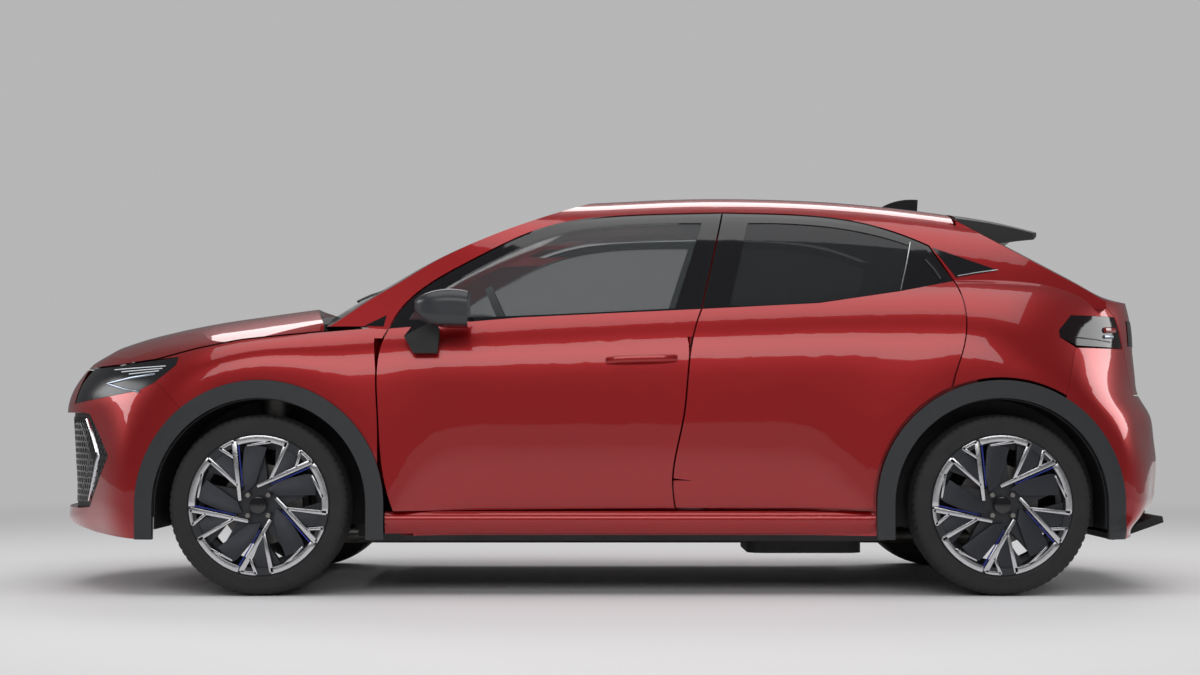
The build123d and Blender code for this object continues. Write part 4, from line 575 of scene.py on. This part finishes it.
HALF_TYRE = ((0.000, 0.3160), (0.013, 0.3160), (0.0145, 0.3092), (0.0215, 0.3092), (0.023, 0.3158),
             (0.046, 0.3153), (0.0475, 0.3086), (0.0545, 0.3086), (0.056, 0.3149), (0.072, 0.3140),
             (0.083, 0.3120), (0.0925, 0.3065), (0.0985, 0.2970), (0.1005, 0.2920), (0.1012, 0.2915),
             (0.1018, 0.2860), (0.1012, 0.2690), (0.1003, 0.2610), (0.1006, 0.2600), (0.0990, 0.2520),
             (0.0950, 0.2460), (0.0850, 0.2400))
TYRE_PROFILE = [*HALF_TYRE, *[(-y, radius) for y, radius in HALF_TYRE[:0:-1]]]
TREAD_STEPS = 288
SHOULDER = {10: 0.0040, 11: 0.0035, 9: 0.0030}


def tread_relief(k, i):
    """Cross grooves: each fourth pair of steps is lower at the tread's shoulders."""
    half = i if i < len(HALF_TYRE) else len(TYRE_PROFILE) - i
    return SHOULDER.get(half, 0.0) if k % 4 < 1 else 0.0


def placed(pattern, name, axle_x, sign, body):
    """A copy of a wheel piece on one wheel: its own mesh, turned over for the right side."""
    piece = pattern.copy()
    piece.data = pattern.data.copy()
    piece.name = name
    bpy.context.collection.objects.link(piece)
    for vertex in piece.data.vertices:
        x, y, z = vertex.co
        vertex.co = (x + axle_x, (y - WHEEL_Y) * -sign, z + TYRE_R)
    if sign > 0:
        piece.data.flip_normals()
    bpy.ops.object.select_all(action="DESELECT")
    piece.select_set(True)
    bpy.context.view_layer.objects.active = piece
    bpy.ops.object.shade_smooth_by_angle(angle=radians(32))
    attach(piece, body)
    return piece


def make_wheels():
    face_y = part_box("front_rim_left")[0][1] + WHEEL_Y - 0.0008
    hub_y = face_y + 0.001
    patterns = [
        (plates("wheel_bars", BARS, face_y, 0.007, 0.0006, ALLOY), "wheel_bars", "rim"),
        (plates("wheel_blades", BLADES, face_y + 0.004, 0.006, 0.0008, BLADE), "wheel_blades", "rim"),
        (plates("wheel_lines", BLUES, face_y + 0.0005, 0.004, 0.0, BLUE_LINE), "wheel_lines", "rim"),
        (lathe("wheel_cap", [(hub_y - 0.010, 0.0005), (hub_y - 0.0098, 0.020), (hub_y - 0.0080, 0.0285),
                             (hub_y - 0.0050, 0.0300), (hub_y + 0.0100, 0.0300), (hub_y + 0.0100, 0.0005)],
               48, GLOSS_BLACK), "wheel_cap", "rim"),
        (lathe("tyre", TYRE_PROFILE, TREAD_STEPS, TREAD_RUBBER, tread_relief), "tyre", "tyre")]
    nut = lathe("wheel_nut", [(hub_y - 0.012, 0.0005), (hub_y - 0.012, 0.0075), (hub_y - 0.010, 0.0095),
                              (hub_y + 0.010, 0.0095), (hub_y + 0.010, 0.0005)], 6, STEEL)
    for side, sign in SIDES:
        for end, axle_x in (("front", FRONT_AXLE_X), ("rear", REAR_AXLE_X)):
            body = f"{end}_wheel_{side}"
            for pattern, stem, slot in patterns:
                piece = placed(pattern, f"{stem}_{end}_{side}", axle_x, sign, body)
                if stem == "tyre":
                    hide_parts(f"{end}_tyre_{side}")
            for k in range(4):
                x, z = polar(0.050, 90 * k + 45)
                bolt = placed(nut, f"wheel_nut_{end}_{side}_{k}", axle_x + x, sign, body)
                for vertex in bolt.data.vertices:
                    vertex.co.z += z
    for piece in [pattern for pattern, _, _ in patterns] + [nut]:
        bpy.data.objects.remove(piece, do_unlink=True)


make_wheels()

# ---------------------------------------------------------------- lamps
nose = surface_of("headlamps", "front_bumper", "front_fender_left", "grille")
LAMP_ARROW = ((-1.60, 0.775), (-1.70, 0.762), (-1.80, 0.742), (-1.72, 0.722), (-1.655, 0.712))
laid_pair("headlamp_arrow", nose, LAMP_ARROW, 25, 0.001, 0.004, LAMP_FACET, "car_body", "headlamp")
LED_RISE = 0.0085
for k in range(4):
    line = ((-1.78 + 0.035 * k, 0.793 - LED_RISE * k), (-1.565 - 0.012 * k, 0.803 - LED_RISE * k))
    laid_pair(f"led_line_{k}", nose, line, 12, 0.001, 0.0018, LED, "car_body", "headlamp")
tail = surface_of("tail_lamps", "tailgate_lamps", "tailgate", "rear_bumper", "rear_window", "rear_spoiler",
                  "body_side_left")
laid_pair("tail_lamp_ridge", tail, ((1.655, 0.905), (1.73, 0.900), (1.80, 0.892)), 12, 0.0005, 0.0022,
          LAMP_BODY, "car_body", "tail_lamp")
laid_pair("tail_lamp_red_block", tail, ((1.776, 0.934), (1.822, 0.936)), 8, 0.0, 0.011, RED_LENS,
          "car_body", "tail_lamp")
laid_pair("tail_lamp_clear_block", tail, ((1.772, 0.910), (1.812, 0.912)), 8, 0.0, 0.007, LAMP_FACET,
          "car_body", "tail_lamp")

# ---------------------------------------------------------------- grille
STRIP = ((-1.896, 0.615), (-1.868, 0.56), (-1.832, 0.485), (-1.852, 0.41), (-1.885, 0.322))
laid_pair("grille_corner_strip", nose, STRIP, 21, 0.002, 0.008, CHROME, "car_body", "grille_plastic")
INNER_STRIP = ((-1.935, 0.60), (-1.905, 0.55), (-1.880, 0.49), (-1.900, 0.42), (-1.930, 0.36))
laid_pair("grille_inner_strip", nose, INNER_STRIP, 21, 0.002, 0.005, GRILLE_GREY, "car_body", "grille_plastic")
grille_face = surface_of("grille")
CELL = 0.0145
NOSE_LIMIT = cad_box[0][0] + 0.0012
PLATE_PAD_HALF, PLATE_PAD_LOW, PLATE_PAD_HIGH = 0.17, 0.40, 0.53


def grille_cell(y, z):
    """One raised six-sided cell of the grille's mesh, laid on the grille's face."""
    turns = [(y + CELL * k * cos(radians(60 * i + 30)), z + CELL * k * sin(radians(60 * i + 30)))
             for k in (0.985, 0.80) for i in range(6)]
    front = on_end(grille_face, turns, 0.0035)
    back = on_end(grille_face, turns, -0.0020)
    if len(front) < 12 or len(back) < 12 or max(p.x for p in front) - min(p.x for p in front) > 0.03:
        return [], []
    for point in front:
        point.x = max(point.x, NOSE_LIMIT)
    corners = front + back
    faces = []
    for i in range(6):
        j = (i + 1) % 6
        faces += [(i, j, 6 + j, 6 + i), (i, 12 + i, 12 + j, j), (6 + i, 6 + j, 18 + j, 18 + i),
                  (12 + i, 18 + i, 18 + j, 12 + j)]
    return corners, faces


def make_grille_mesh():
    corners, faces = [], []
    low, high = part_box("grille")
    rows = int((high[2] - low[2]) / (CELL * 1.5))
    columns = int((high[1] - low[1]) / (CELL * sqrt(3)))
    for row in range(rows):
        for column in range(columns):
            y = low[1] + (column + 0.5 * (row % 2)) * CELL * sqrt(3)
            z = low[2] + 0.012 + row * CELL * 1.5
            if abs(y) < PLATE_PAD_HALF and PLATE_PAD_LOW < z < PLATE_PAD_HIGH:
                continue
            cell_corners, cell_faces = grille_cell(y, z)
            faces += [[len(corners) + i for i in face] for face in cell_faces]
            corners += cell_corners
    mesh = bpy.data.meshes.new("grille_mesh")
    mesh.from_pydata([tuple(c) for c in corners], [], faces)
    piece = bpy.data.objects.new("grille_mesh", mesh)
    bpy.context.collection.objects.link(piece)
    bpy.ops.object.select_all(action="DESELECT")
    piece.select_set(True)
    bpy.context.view_layer.objects.active = piece
    bpy.ops.object.mode_set(mode="EDIT")
    bpy.ops.mesh.select_all(action="SELECT")
    bpy.ops.mesh.normals_make_consistent(inside=False)
    bpy.ops.object.mode_set(mode="OBJECT")
    own(piece, GLOSS_BLACK, "car_body", 30)


make_grille_mesh()

# ---------------------------------------------------------------- side trim
side_face = surface_of("front_door_left", "rear_door_left", "front_door_glass_left",
                       "rear_door_glass_left", "body_side_left", "quarter_windows", "front_fender_left",
                       "sill_covers", "arch_cladding")
laid_pair("rear_glass_edge", side_face, ((1.037, 1.075), (1.060, 1.16), (1.082, 1.252)), 12, 0.0005, 0.0022,
          CHROME, "rear_door_{side}", "gloss_black")
laid_pair("quarter_line", side_face, ((1.245, 1.128), (1.32, 1.142), (1.395, 1.152)), 10, 0.0005, 0.0018,
          CHROME, "car_body", "gloss_black")
HANDLE_LIFTS = (0.0, 0.014, 0.022, 0.022, 0.014, 0.0)
HANDLE = ((-0.010, 0.822), (0.012, 0.824), (0.075, 0.826), (0.150, 0.827), (0.212, 0.828), (0.234, 0.828))


def make_handle(name, body, slot):
    feet = on_side(side_face, HANDLE, 0.0)
    points = [(point.x, point.y - lift, point.z) for point, lift in zip(feet, HANDLE_LIFTS)]
    return rod(name, points, 0.0085, RED, body, squeeze=(1, 1, 1.55), smooth=True)


pair("front_handle", make_handle, "front_door_{side}", "body_paint")
laid_pair("rear_handle", side_face, ((1.135, 1.190), (1.165, 1.155), (1.188, 1.118)), 8, 0.004, 0.0075,
          GLOSS_BLACK, "rear_door_{side}", "gloss_black")

# ---------------------------------------------------------------- seats
SEAT_CAP = 0.012          # the padding swells no further than this
SEAT_PRESSURE = 4.0
CLOTH_FRAMES = 20


def padded_copy(node, name, voxel):
    """A cloth-covered pad blown up a little from a seat's solid form."""
    piece = bpy.data.objects.new(name, nodes[node].data.copy())
    bpy.context.collection.objects.link(piece)
    bpy.ops.object.select_all(action="DESELECT")
    piece.select_set(True)
    bpy.context.view_layer.objects.active = piece
    bpy.ops.object.mode_set(mode="EDIT")
    bpy.ops.mesh.select_all(action="SELECT")
    bpy.ops.mesh.remove_doubles(threshold=0.0001)
    bpy.ops.object.mode_set(mode="OBJECT")
    remesh = piece.modifiers.new("remesh", "REMESH")
    remesh.mode = "VOXEL"
    remesh.voxel_size = voxel
    bpy.ops.object.modifier_apply(modifier="remesh")
    relax = piece.modifiers.new("relax", "SMOOTH")
    relax.factor = 0.5
    relax.iterations = 12
    bpy.ops.object.modifier_apply(modifier="relax")
    rest = [vertex.co.copy() for vertex in piece.data.vertices]
    cloth = piece.modifiers.new("cloth", "CLOTH")
    cloth.settings.use_pressure = True
    cloth.settings.uniform_pressure_force = SEAT_PRESSURE
    cloth.settings.effector_weights.gravity = 0.0
    cloth.settings.quality = 4
    for number in range(1, CLOTH_FRAMES + 1):
        bpy.context.scene.frame_set(number)
    bpy.ops.object.modifier_apply(modifier="cloth")
    for vertex, start in zip(piece.data.vertices, rest):
        moved = vertex.co - start
        if moved.length > SEAT_CAP:
            vertex.co = start + moved.normalized() * SEAT_CAP
    bpy.context.scene.frame_set(1)
    own(piece, SEAT, "car_body", 60)
    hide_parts(node)
    return piece


padded_copy("front_seats", "front_seat_pads", 0.009)
padded_copy("rear_bench", "rear_bench_pads", 0.010)

# ---------------------------------------------------------------- wipers
screen = surface_of("windscreen", "cowl_panel", "bonnet", "rear_window")
WIPERS = (((-0.93, -0.42), (-0.83, 0.10)), ((-0.95, 0.12), (-0.80, 0.62)))
WIPER_LIFT, WIPER_R = 0.007, 0.005
for k, ends in enumerate(WIPERS):
    rod(f"wiper_blade_{k}", on_top(screen, between(ends, 14), WIPER_LIFT), WIPER_R, BLACK_PLASTIC, "car_body")
rear_row = on_end(screen, between(((-0.02, 1.125), (0.30, 1.135)), 10), WIPER_LIFT, -1)
rod("rear_wiper", rear_row, WIPER_R, BLACK_PLASTIC, "tailgate")

make_camera()
make_studio()
bpy.context.scene.view_settings.view_transform = "Standard"
